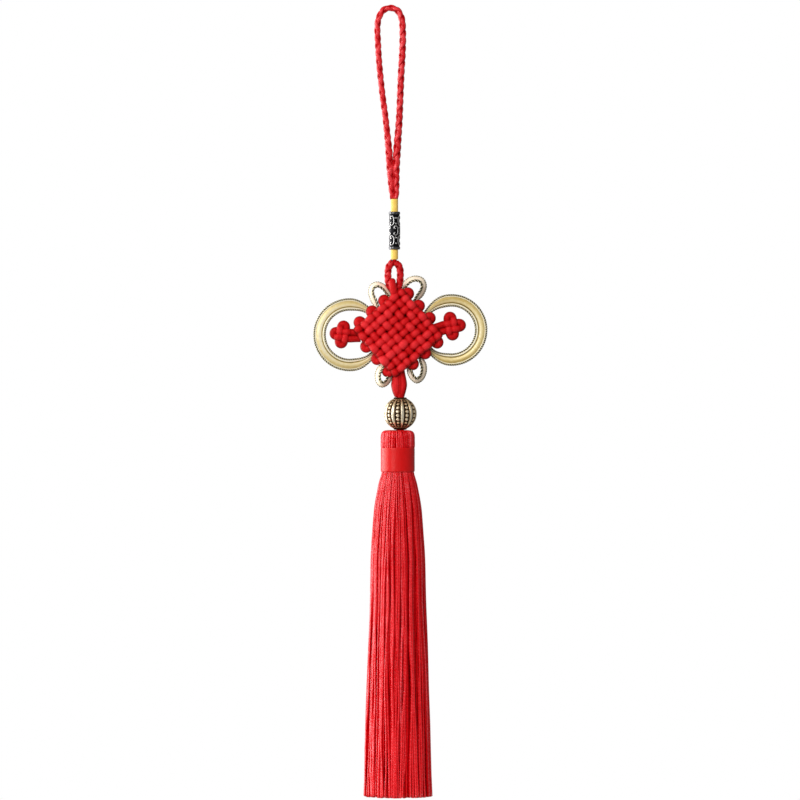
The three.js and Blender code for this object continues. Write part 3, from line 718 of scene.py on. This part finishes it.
def cord_turn(root, tip, leg_gap, lean):
    """The path of a tight turn: out from the root to the tip and back, the legs side by side."""
    out = unit(tip - root)
    side = np.cross(out, DEPTH) * leg_gap / 2
    neck = tip - out * leg_gap / 2
    half_way = (root + neck) / 2
    diagonal = math.sqrt(0.5)
    slant = out * diagonal * leg_gap / 2
    tilt = DEPTH * lean
    return smooth_path(
        [
            root + side - tilt,
            half_way + side - tilt,
            neck + side - tilt * 0.8,
            neck + side * diagonal + slant - tilt * 0.4,
            tip,
            neck - side * diagonal + slant + tilt * 0.4,
            neck - side + tilt * 0.8,
            half_way - side + tilt,
            root - side + tilt,
        ]
    )


EAR_PLACES = {"left": (2.7, 4.7, 6.7), "right": (1.2, 3.2, 5.2)}
EAR_REACH = 0.34
EAR_ROOT = 0.9
EAR_GAP = 2.2
EAR_DEEP = 1.9
EAR_WIDE = 1.75


def edge_turns(skin):
    far = WEAVE_COUNT
    ears = [((EAR_ROOT, v), (-EAR_REACH, v)) for v in EAR_PLACES["left"]]
    ears += [((u, far - EAR_ROOT), (u, far + EAR_REACH)) for u in EAR_PLACES["left"]]
    ears += [((u, EAR_ROOT), (u, -EAR_REACH)) for u in EAR_PLACES["right"]]
    ears += [((far - EAR_ROOT, v), (far + EAR_REACH, v)) for v in EAR_PLACES["right"]]
    for root, tip in ears:
        lean = 0.5 + 0.2 * chance.standard_normal()
        path = cord_turn(on_knot(*root), on_knot(*tip), EAR_GAP, lean)
        rings = tube_rings(path, DEPTH, EAR_DEEP, EAR_WIDE, sides=20)
        skin.add(rings, tone=painted_depth_shade(rings, *PAINTED_SHADE_TONES["edge"]))


# The top turn's front leg, up from the knot: x, how far in front, and z
TOP_TURN_LEG = [(2.9, 0.6, -126.9), (2.0, 2.4, -125.9), (1.3, 3.57, -123.6), (0.8, 2.6775, -121.0)]
TOP_TURN_CROWN = (0.75, 0, -119.7)
TOP_TURN_RADIUS = 1.6


def top_turn(skin):
    rows = [(x, -y, z) for x, y, z in TOP_TURN_LEG] + [TOP_TURN_CROWN] + TOP_TURN_LEG[::-1]
    skin.add(tube_rings(smooth_path(rows), ACROSS, TOP_TURN_RADIUS, sides=18), tone=0.55)


# Side knots, two cords each way woven once: hub, root of the neck, tilt in degrees, side of the big
# knot, and how far the outer, upper and lower lobes stand from the hub
SIDE_KNOTS = [
    ((-21.3, -143.1), (-13.0, -143.5), -9.0, -1, (5.8, 6.3, 6.3)),
    ((26.9, -139.6), (19.6, -141.4), 9.0, 1, (6.6, 6.7, 6.3)),
]
SIDE_CORD = 1.6
SIDE_PITCH = 2.7
SIDE_RISE = 1.2
SIDE_NECK_GAP = 2.9
# A lobe's path in half pitches: sideways from its middle line, and in from its tip
LOBE = [(-1, 1), (-0.7, 0.3), (0, 0), (0.7, 0.3), (1, 1)]
SIDE_ENTRY = (2.4, 1.1)  # where the neck's cords reach the side knot, in half pitches along and up


def side_knot(skin, hub, neck, tilt, way, reach):
    turn = math.radians(tilt)
    out = np.array([math.cos(turn), 0, math.sin(turn)]) * way
    rise = np.array([-math.sin(turn), 0, math.cos(turn)])
    centre = np.array([hub[0], 0, hub[1]])
    root = np.array([neck[0], 0, neck[1]])
    half = SIDE_PITCH / 2
    far, high, low = (length - SIDE_CORD for length in reach)

    def spot(o, u, y=0.0):
        return centre + out * o + rise * u + DEPTH * y

    upright = [
        spot(-half, -half, -SIDE_RISE),
        spot(-half, half, SIDE_RISE),
        *(spot(side * half, high - inward * half) for side, inward in LOBE),
        spot(half, half, -SIDE_RISE),
        spot(half, -half, SIDE_RISE),
        *(spot(-side * half, inward * half - low) for side, inward in LOBE),
    ]
    entry, entry_up = (half * share for share in SIDE_ENTRY)
    neck_side = rise * SIDE_NECK_GAP / 2
    middle = (root + spot(-entry, 0)) / 2
    level = [
        root - neck_side,
        middle - neck_side,
        spot(-entry, -entry_up),
        spot(-half, -half, SIDE_RISE),
        spot(half, -half, -SIDE_RISE),
        *(spot(far - inward * half, side * half) for side, inward in LOBE),
        spot(half, half, SIDE_RISE),
        spot(-half, half, -SIDE_RISE),
        spot(-entry, entry_up),
        middle + neck_side,
        root + neck_side,
    ]
    rings = tube_rings(smooth_path(upright, closed=True), DEPTH, SIDE_CORD, sides=18, loop=True)
    skin.add(rings, tone=painted_depth_shade(rings, *PAINTED_SHADE_TONES["upright"]), loop=True)
    rings = tube_rings(smooth_path(level), DEPTH, SIDE_CORD, sides=18)
    skin.add(rings, tone=painted_depth_shade(rings, *PAINTED_SHADE_TONES["level"]))


TAIL_X = 4.3
# Rows of x, z and radius for the cords that swell above the bead
TAIL_CORDS = [
    [(2.8, -157.5, 1.2), (2.8, -160.4, 1.6), (2.4, -165.3, 2.2), (2.7, -168.2, 1.9), (3.3, -170.6, 1.4)],
    [(4.8, -157.5, 1.2), (5.0, -160.4, 1.5), (5.6, -165.3, 1.75), (5.2, -168.2, 1.6), (4.8, -170.6, 1.3)],
    [(3.8, -157.5, 1.2), (4.0, -160.4, 1.4), (4.2, -165.3, 1.55), (4.1, -168.2, 1.5), (4.0, -170.6, 1.3)],
]
TAIL_DEEPER = 1.1  # they are this much deeper than wide
TAIL_ROUTE = [(TAIL_X, -169.5), (TAIL_X, -185.4), (3.9, -188.5), (3.5, -192.0)]
TAIL_RADIUS = 1.8


def tail_cords(skin):
    """The cords, pressed together and swollen above the bead, and as one from there down."""
    for rows in TAIL_CORDS:
        path = flat_route([(x, z) for x, z, _ in rows])
        radius = np.interp(-path[:, 2], [-z for _, z, _ in rows], [r for _, _, r in rows])
        rings = tube_rings(path, DEPTH, radius * TAIL_DEEPER, radius, sides=20)
        skin.add(rings, tone=painted_depth_shade(rings, *PAINTED_SHADE_TONES["tail"]))
    skin.add(tube_rings(flat_route(TAIL_ROUTE), DEPTH, TAIL_RADIUS, sides=16), tone=0.4)


def knot(material):
    skin = Skin()
    woven_cords(skin)
    inner_cords(skin)
    edge_turns(skin)
    top_turn(skin)
    for row in SIDE_KNOTS:
        side_knot(skin, *row)
    tail_cords(skin)
    skin.piece("woven_knot", material, "red_cord", "knot_body")


# Gold tapes

EDGE_CORD = 0.42  # radius of a twisted edge cord
EDGE_TWIST = 1.0  # length of one turn of its two strands, one dark and one light
EDGE_STRANDS = (0.64, 0.52)  # their radii, as shares of the cord's
STRAND_OFFSET = 0.48  # the same for how far out their middles lie
TAPE_END = 0.56  # share of its width that a tape keeps at the knot
# Width, share of the length where a tape widens from its ends, and its cords: side, 1 for the outer
# edge, cord radii in from that edge, twist and the strands' tones
TAPES = {
    "ring": (5.6, 0.18, [(1, 1, 1, (0.0, 0.95)), (-1, 1, 1, (0.0, 0.95))]),
    "loop": (
        5.2,
        0.22,
        [(1, 1, 1, (0.3, 0.95)), (-1, 1, 1.5, (0.05, 0.95)), (-1, 2.6, 1.3, (0.2, 0.55))],
    ),
}
# Across the web, from the inner edge: share of the way, half thickness and tone
TAPE_ROWS = [
    (0.00, 0.12, 0.75), (0.03, 0.30, 0.92), (0.09, 0.37, 1.00), (0.15, 0.32, 0.92), (0.19, 0.12, 0.25),
    (0.22, 0.10, 0.00), (0.26, 0.16, 0.12), (0.31, 0.31, 0.50), (0.40, 0.42, 0.72), (0.52, 0.47, 0.62),
    (0.64, 0.46, 0.46), (0.76, 0.38, 0.38), (0.84, 0.25, 0.42), (0.87, 0.12, 0.20), (0.90, 0.20, 0.80),
    (0.95, 0.28, 0.98), (1.00, 0.12, 0.80),
]
PALER_FROM = 0.45  # tones below this, in the grooves, turn less pale
RING_DEPTH = 2.9
# Painted light: how much paler a ring's web is painted at its sides than at its top and bottom
SIDE_PAINTED_LIGHT = 0.2
# The rings' centre, radius, first and last angle, angle of the knot's side, how much nearer the
# outer edge stands than the inner, and the web's paleness, which is greatest at a ring's sides; the left
# ring's greater paleness and that at the sides are painted light
RINGS = {
    "left": ((-18.0, -143.2), 13.4, (37, 329), 0, -0.6, 0.48),
    "right": ((27.0, -141.1), 13.1, (-147, 155), 180, 0.8, 0.15),
}
SMALL_TILT = 0.5
SMALL_PALER = 0.55
SMALL_LOOPS = {
    "upper_left": [
        (1.3, 1.0, -128.8), (0.1, 1.0, -126.9), (-1.2, 0.9, -124.4), (-3.2, 0.5, -122.1),
        (-5.8, 0.3, -121.0), (-8.1, 0.3, -122.2), (-8.5, 0.5, -124.8), (-7.4, 0.9, -127.9),
        (-5.8, 1.0, -131.0), (-4.4, 1.0, -133.2),
    ],
    "upper_right": [
        (5.6, 2.4, -125.4), (5.6, 2.4, -122.9), (6.6, 2.2, -120.8), (8.4, 1.6, -119.2),
        (11.2, 0.9, -118.4), (13.7, 0.4, -119.2), (14.7, 0.4, -121.6), (13.7, 0.8, -124.6),
        (11.4, 1.0, -127.4), (9.4, 1.0, -129.8),
    ],
    "lower_left": [
        (-1.1, 1.0, -154.2), (-3.0, 1.0, -156.3), (-4.7, 0.8, -158.5), (-5.6, 0.5, -161.2),
        (-5.1, 0.3, -164.0), (-3.6, 0.3, -165.2), (-1.9, 0.5, -164.5), (-0.6, 0.8, -162.6),
        (0.2, 1.0, -160.4), (0.8, 1.0, -158.4),
    ],
    "lower_right": [
        (12.0, 1.0, -151.4), (13.3, 1.0, -153.8), (14.5, 0.8, -156.4), (14.7, 0.5, -159.3),
        (13.6, 0.3, -162.2), (11.6, 0.3, -163.4), (9.8, 0.5, -162.1), (8.7, 0.8, -160.0),
        (8.0, 1.0, -157.8), (7.2, 1.0, -155.9),
    ],
}


def twisted_pair(skin, path, toward, twist, tones):
    path = even(path, twist / 9)
    _, normal, side = frames_of(path, toward)
    wind = TURN * lengths_along(path) / twist
    for start, tone, thick in zip((0, math.pi), tones, EDGE_STRANDS):
        angle = (wind + start)[:, None]
        out = normal * np.cos(angle) + side * np.sin(angle)
        rings = tube_rings(path + out * EDGE_CORD * STRAND_OFFSET, out, EDGE_CORD * thick, sides=6)
        skin.add(rings, tone=tone)


def seam(cords):
    """The distance from a tape's edge to its web, past that many cords."""
    return EDGE_CORD * (0.2 + 1.6 * cords)


def tape(name, kind, path, flat, lean, paleness_and_painted_light, web_finish, edge_finish):
    """A ridged web with twisted cords on its edges; flat points across it, outwards."""
    width, narrow, edges = TAPES[kind]
    share = np.linspace(0, 1, len(path))
    full = smoothstep(np.minimum(share, 1 - share), narrow * 0.2, narrow)
    half = width / 2 * (TAPE_END + (1 - TAPE_END) * full)
    _, across, up = frames_of(path, flat)
    low = seam(sum(side < 0 for side, *_ in edges)) - half
    high = half - seam(1)
    place, thick, tone = np.array([*TAPE_ROWS, *TAPE_ROWS[::-1]]).T[:, ::-1]
    thick = thick * np.repeat([-1, 1], len(TAPE_ROWS))
    x = low[:, None] + (high - low)[:, None] * place
    lift = thick[None] - lean * x / width
    rings = path[:, None] + across[:, None] * x[..., None] + up[:, None] * lift[..., None]
    # The web's paleness: the small loops' own, and on the rings painted light; it is weaker in the
    # grooves
    lighter = paleness_and_painted_light * np.clip(tone / PALER_FROM, 0, 1) * (1 - tone)
    web = Skin()
    web.add(rings, tone=np.broadcast_to(tone + lighter, rings.shape[:2])[None])
    web.piece(f"{name}_web", web_finish, "gold_tape", f"gold_{name}")
    cords = Skin()
    for side, inward, twist, tones in edges:
        x = side * (half - EDGE_CORD * inward)
        line = path + across * x[:, None] - up * (lean * x / width)[:, None]
        twisted_pair(cords, line, DEPTH, EDGE_TWIST * twist, tones)
    cords.piece(f"{name}_edges", edge_finish, "gold_tape")


def gold_rings(*finishes):
    for name, ((x, z), radius, ends, knot_side, lean, paleness_and_painted_light) in RINGS.items():
        turn = np.radians(np.linspace(*ends, 220))
        y = RING_DEPTH * (1 + np.cos(turn - math.radians(knot_side))) / 2
        flat = np.stack([np.cos(turn), 0 * turn, np.sin(turn)], 1)
        path = np.array([x, 0, z]) + radius * flat + y[:, None] * DEPTH
        paleness_and_painted_light = np.clip(paleness_and_painted_light + SIDE_PAINTED_LIGHT * np.cos(2 * turn), 0, 1)[:, None]
        tape(f"ring_{name}", "ring", path, flat, lean, paleness_and_painted_light, *finishes)


def small_loops(*finishes):
    for name, rows in SMALL_LOOPS.items():
        path = smooth_path(rows, 0.3)
        outward = path - np.array(rows).mean(0)
        outward[:, 1] = 0
        flat = unit(outward) * math.sin(SMALL_TILT) + DEPTH * math.cos(SMALL_TILT)
        tape(f"loop_{name}", "loop", path, flat, 0, SMALL_PALER, *finishes)


# Round bead

BEAD_Z = -178.1
BEAD_RADIUS = 7.3
BEAD_HALF_HEIGHT = 7.2
BEAD_BORE = 2.25
BEAD_END = 66  # degrees of latitude at which its lip starts
BEAD_LIP = [(0.0, 6.9), (0.25, 7.15), (0.6, 7.0)]  # out from the bore, and from the middle's height
COLUMN_COUNT = 10
COLUMN_START = math.radians(-9.5 - 90)  # angle about +Z of the column left of the front
COLUMN_HALF = 1.6
COLUMN_DEPTH = 0.65
COLUMN_REACH = math.radians(57)
DOT_COUNT = 8
DOT_PITCH = math.radians(14.2)
DOT_RADIUS = 0.86
DOT_RISE = 0.85  # share of its radius that a dot stands above the column's floor
RIB_CROWN = 0.1  # how far the middle of a rib stands out of the sphere
# Painted shade: how much darker the bead is painted towards its top and bottom, standing in for the
# darker reflection there, and most just short of its lips, and the latitudes, in degrees, over which it
# does
BEAD_PAINTED_SHADE = [(0.3, 15, 50), (0.75, 58, 64)]


def round_bead(material):
    latitude = np.radians(np.linspace(-BEAD_END, BEAD_END, 150))
    outer = np.stack([BEAD_RADIUS * np.cos(latitude), BEAD_Z + BEAD_HALF_HEIGHT * np.sin(latitude)], 1)
    low_lip = [(BEAD_BORE + out, BEAD_Z - down) for out, down in BEAD_LIP]
    high_lip = [(r, 2 * BEAD_Z - z) for r, z in low_lip[::-1]]
    rows = np.array([*low_lip, *outer, *high_lip])
    sides = 260
    angle = np.linspace(0, TURN, sides, endpoint=False)[None, :] + 0 * rows[:, :1]
    z = rows[:, 1:] + 0 * angle
    lat = np.arcsin(np.clip((z - BEAD_Z) / BEAD_HALF_HEIGHT, -1, 1))
    spacing = TURN / COLUMN_COUNT
    off = (angle - COLUMN_START + spacing / 2) % spacing - spacing / 2
    across = off * BEAD_RADIUS * np.cos(lat)
    half = COLUMN_HALF * np.cos(lat) ** 0.8
    beside = smoothstep(np.abs(across), half - 0.2, half + 0.12)
    beyond = smoothstep(np.abs(lat), COLUMN_REACH, COLUMN_REACH + 0.05)
    in_column = (1 - beside) * (1 - beyond)
    step = np.clip(np.round(lat / DOT_PITCH - 0.5), -DOT_COUNT // 2, DOT_COUNT // 2 - 1)
    dot_lat = (step + 0.5) * DOT_PITCH
    size = DOT_RADIUS * np.cos(dot_lat) ** 0.5
    near = np.hypot(across, (lat - dot_lat) * BEAD_RADIUS) / size
    dome = np.sqrt(np.clip(1 - near**2, 0, 1)) * size * DOT_RISE - COLUMN_DEPTH
    height = -COLUMN_DEPTH * in_column
    height = np.where(in_column > 0.5, np.maximum(height, dome), height)
    crown = RIB_CROWN * smoothstep(np.abs(across), half, half + 0.9) * (1 - in_column)
    on_outer = np.zeros(angle.shape, bool)
    on_outer[len(BEAD_LIP) : -len(BEAD_LIP)] = True
    move = np.where(on_outer, height + crown, 0)
    tone = np.where(on_outer, np.clip(1 + height / COLUMN_DEPTH, 0, 1) * 0.85 + 0.05, 0.25)
    for darker, start, end in BEAD_PAINTED_SHADE:
        tone = tone * (1 - darker * smoothstep(np.abs(lat), math.radians(start), math.radians(end)))
    skin = Skin()
    skin.add(turned_rings(rows, sides, TAIL_X, lambda *_: move), tone=tone[None], loop=True)
    skin.piece("ribbed_bead", material, "antique_gold", "round_bead")


# Tassel

TASSEL_X = 3.2
SKIRT_TOP = -203.0
TASSEL_END = -347.4
SKIRT_OUTLINE = [
    (7.0, -202.0), (7.35, -204.6), (8.6, -208.9), (9.7, -214.2), (10.6, -219.5), (11.1, -224.8),
    (11.5, -230.1), (12.2, -240.7), (12.7, -262.0), (13.6, -283.2), (14.2, -304.4), (14.8, -325.7),
    (15.4, -347.4),
]
# Count, shares of the skirt's radius, mesh rows and sides, greatest half thickness, wander and shade:
# tone, spread, and painted shade lighter on a strand's outside; the inner layers' lower tones are painted
# shade too
OUTER_LAYER = (74, (0.965, 1.0), 110, 10, 0.56, 0.5, (0.23, 0.13, 0.48))
INNER_LAYERS = [
    (74, (0.90, 0.95), 80, 8, 0.6, 0.6, (0.12, 0.13, 0.48)),
    (60, (0.80, 0.86), 40, 8, 0.7, 0.6, (0.0, 0.13, 0.48)),
]
# The innermost strands, which show at the cut end alone: count and share, and then as above
END_LAYERS = [(50, 0.70), (40, 0.57), (32, 0.44), (24, 0.31), (15, 0.19), (6, 0.07)]
END_STRANDS = (12, 8, 0.85, 0.3, (0.2, 0.13, 0.48))
END_TOP = -325.0
# Waves that a strand wanders by: length, as a share of the skirt's, and size
WANDERS = [(1.1, 1.0), (0.45, 0.45), (0.17, 0.12)]
LOCK_LEAN = 0.035  # how far whole locks lean to a side
BREATH = 0.014  # a strand's swing in and out, as a share of the skirt's radius
CORE_BOTTOM = -336


def skirt_radius(z):
    path = smooth_path([(r, 0, z) for r, z in SKIRT_OUTLINE], 1.0)
    return np.interp(-z, -path[:, 2], path[:, 0])


def strands(skin, count, shares, rows, sides, largest, wander, shade, top=SKIRT_TOP):
    """Strands hanging from top to the cut end, each with its own wander and thickness."""
    angle0 = (np.arange(count) + chance.uniform(-0.3, 0.3, count)) / count * TURN
    share = chance.uniform(*shares, count)[:, None]
    end = TASSEL_END + 0.9 * chance.uniform(0, 1, count) ** 3
    run = np.linspace(0, 1, rows) ** 1.2
    z = top + (end[:, None] - top) * run
    outline = skirt_radius(z)
    lean = np.sin(4 * angle0 + 0.6)[:, None] + np.sin(9 * angle0 + 2.0)[:, None]
    angle = angle0[:, None] + LOCK_LEAN * lean * np.sin(TURN * run * 0.7) + 0 * run
    for length, amount in WANDERS:
        phase = chance.uniform(0, TURN, count)[:, None]
        bend = np.sin(TURN * run / length + phase) - np.sin(phase)
        angle = angle + wander * amount * TURN / count * chance.standard_normal(count)[:, None] * bend
    breath = BREATH * np.sin(TURN * run / 0.5 + chance.uniform(0, TURN, count)[:, None]) * run
    thick = np.minimum(largest, math.pi * outline / count) * chance.uniform(0.82, 1.15, count)[:, None]
    radius = np.minimum(outline * (share + breath), outline) - thick
    out = np.stack([np.cos(angle), np.sin(angle), 0 * angle], -1)
    path = radius[..., None] * out + z[..., None] * UP + TASSEL_X * ACROSS
    rings = tube_rings(path, out, thick, sides=sides)
    skin.add(rings, tone=np.clip(strand_tones_and_shade(rings, path, out, thick, *shade), 0, 1))


def skirt(material):
    outer = Skin()
    strands(outer, *OUTER_LAYER)
    outer.piece("skirt_outer_strands", material, "red_tassel", "tassel")
    inner = Skin()
    for layer in INNER_LAYERS:
        strands(inner, *layer)
    for count, share in END_LAYERS:
        strands(inner, count, (share - 0.02, share + 0.02), *END_STRANDS, top=END_TOP)
    # A core inside the strands, painted darkest as the shade inside the tassel
    z = np.linspace(CORE_BOTTOM, SKIRT_TOP + 1, 60)
    core = np.stack([skirt_radius(z) * 0.80 - 0.4, z], 1)
    closed = [(0.01, core[0, 1]), *core, (0.01, core[-1, 1])]
    rings = turned_rings(closed, 90, TASSEL_X, lambda a, z, r: (r > 1) * 0.2 * np.cos(a * 30))
    inner.add(rings, tone=0.0, capped=False)
    inner.piece("skirt_inner_strands", material, "red_tassel")


HEAD_THREADS = 54
HEAD_THICK = 0.46  # half thickness of a thread
HEAD_PROFILE = [
    (2.3, -186.1), (3.6, -185.8), (5.4, -185.85), (6.5, -186.15), (7.2, -186.9), (7.45, -188.0),
    (7.5, -190.0), (7.5, -192.4), (7.3, -193.2), (6.8, -193.9), (6.7, -195.0),
]
# The head threads' tone, its spread, and how much lighter their outside is painted, as painted shade
HEAD_SHADE = (0.38, 0.1, 0.34)
HEAD_BORE = 2.12
HEAD_INSIDE = [(HEAD_BORE, -203.5), (6.5, -203.5), (6.5, -196.0)]


def head(material):
    """Threads folded over the top, which run down under the binding."""
    skin = Skin()
    profile = smooth_path([(r, 0, z) for r, z in HEAD_PROFILE], 0.35)
    reach = np.linspace(0, 1, len(profile))
    squeeze = np.minimum(1, profile[:, 0] / 6.5)
    for n in range(HEAD_THREADS):
        start = (n + chance.uniform(-0.25, 0.25)) / HEAD_THREADS * TURN
        slant = 0.05 * chance.standard_normal()
        angle = start + slant * (reach - 0.5) + 0.01 * np.sin(reach * 9 + chance.uniform(0, TURN))
        out = np.stack([np.cos(angle), np.sin(angle), 0 * angle], -1)
        radius = profile[:, 0] - HEAD_THICK * 0.85 + 0.06 * chance.standard_normal()
        path = out * radius[:, None] + UP * (profile[:, 2] - 0.1)[:, None] + TASSEL_X * ACROSS
        toward = unit(out * 0.9 + UP * 0.5)
        rings = tube_rings(path, toward, HEAD_THICK, HEAD_THICK * (0.35 + 0.65 * squeeze), sides=10)
        skin.add(rings, tone=strand_tones_and_shade(rings, path, toward, HEAD_THICK, *HEAD_SHADE))
    # A core under the threads, painted dark as the shade between them
    inside = [(max(r - 0.34, HEAD_BORE), z - 0.32) for r, _, z in profile[::3]]
    closed = [*HEAD_INSIDE, *inside[::-1], (HEAD_BORE, -187.0)]
    skin.add(turned_rings(closed, 80, TASSEL_X), tone=0.15, loop=True)
    skin.piece("tassel_head", material, "red_tassel")


# Rows of radius and z, from the bottom up
BINDING_PROFILE = [
    (7.2, -203.9), (7.45, -203.6), (7.52, -203.2), (7.5, -198.5), (7.52, -193.9), (7.48, -193.5),
    (7.35, -193.3),
]
BINDING_BORE = 6.95
BINDING_THREAD = (0.46, 0.035)  # pitch and depth


def binding(material):
    bottom, top = BINDING_PROFILE[0][1], BINDING_PROFILE[-1][1]
    rows = [(BINDING_BORE, bottom), *finer(BINDING_PROFILE, 0.08), (BINDING_BORE, top)]
    skin = Skin()
    skin.add(turned_rings(rows, 110, TASSEL_X, winding(*BINDING_THREAD)), loop=True)
    skin.piece("wound_binding", material, "red_tassel", "tassel_binding")


# Surroundings: a pale floor below the pendant, a white world and soft studio lights

FLOOR_Z = -362.0
FLOOR_RADIUS = 130.0
WORLD_LIGHT = 0.18
# Each light's place and aim, width and height, watts, and whether shiny surfaces mirror it
LIGHTS = {
    "left_box": ((-720, 230, -120), (0, 0, -190), (900, 900), 11.0, True),
    "front_left": ((-700, -1000, 350), (0, 0, -170), (380, 900), 6.5, True),
    "front_soft": ((-150, -1200, 300), (0, 0, -170), (900, 900), 12.0, False),
}


def add_floor():
    bpy.ops.mesh.primitive_circle_add(vertices=96, radius=FLOOR_RADIUS * MM, fill_type="NGON")
    floor = bpy.context.object
    floor.name = "floor"
    floor.location = (VIEW_CENTRE[0] * MM, 0, FLOOR_Z * MM)
    material = bpy.data.materials.new("pale_floor")
    material.use_nodes = True
    shader = material.node_tree.nodes["Principled BSDF"]
    shader.inputs["Base Color"].default_value = (0.86, 0.86, 0.85, 1)
    shader.inputs["Roughness"].default_value = 0.8
    floor.data.materials.append(material)


def add_world():
    """White where the camera sees it, and softer where it lights the pendant."""
    world = bpy.data.worlds.new("studio")
    bpy.context.scene.world = world
    world.use_nodes = True
    tree = world.node_tree
    seen = tree.nodes["Background"]
    lit = tree.nodes.new("ShaderNodeBackground")
    for background, strength in ((seen, 1.0), (lit, WORLD_LIGHT)):
        background.inputs["Color"].default_value = (1, 1, 1, 1)
        background.inputs["Strength"].default_value = strength
    rays = tree.nodes.new("ShaderNodeLightPath")
    mix = tree.nodes.new("ShaderNodeMixShader")
    tree.links.new(rays.outputs["Is Camera Ray"], mix.inputs[0])
    tree.links.new(lit.outputs[0], mix.inputs[1])
    tree.links.new(seen.outputs[0], mix.inputs[2])
    tree.links.new(mix.outputs[0], tree.nodes["World Output"].inputs["Surface"])


def add_lights():
    for name, (place, aim, size, watts, shines) in LIGHTS.items():
        data = bpy.data.lights.new(name, "AREA")
        data.shape = "RECTANGLE"
        data.size, data.size_y = (side * MM for side in size)
        data.energy = watts
        light = bpy.data.objects.new(name, data)
        light.location = Vector(place) * MM
        sight = Vector(aim) - Vector(place)
        light.rotation_euler = sight.to_track_quat("-Z", "Y").to_euler()
        light.visible_glossy = shines
        bpy.context.scene.collection.objects.link(light)


add_camera()
add_world()
add_lights()
add_floor()
bpy.context.scene.view_settings.view_transform = "Standard"

thread_red = finished("tassel_thread")
tape_edge = finished("tape_edge")
hanger_cord(finished("braided_cord"))
neck_sleeve(finished("gold_thread"))
tube_bead(finished("dark_silver"))
knot(finished("red_cord"))
gold_rings(finished("gold_tape"), tape_edge)
small_loops(finished("rose_gold_tape"), tape_edge)
round_bead(finished("antique_gold"))
skirt(thread_red)
head(thread_red)
binding(finished("binding_thread"))
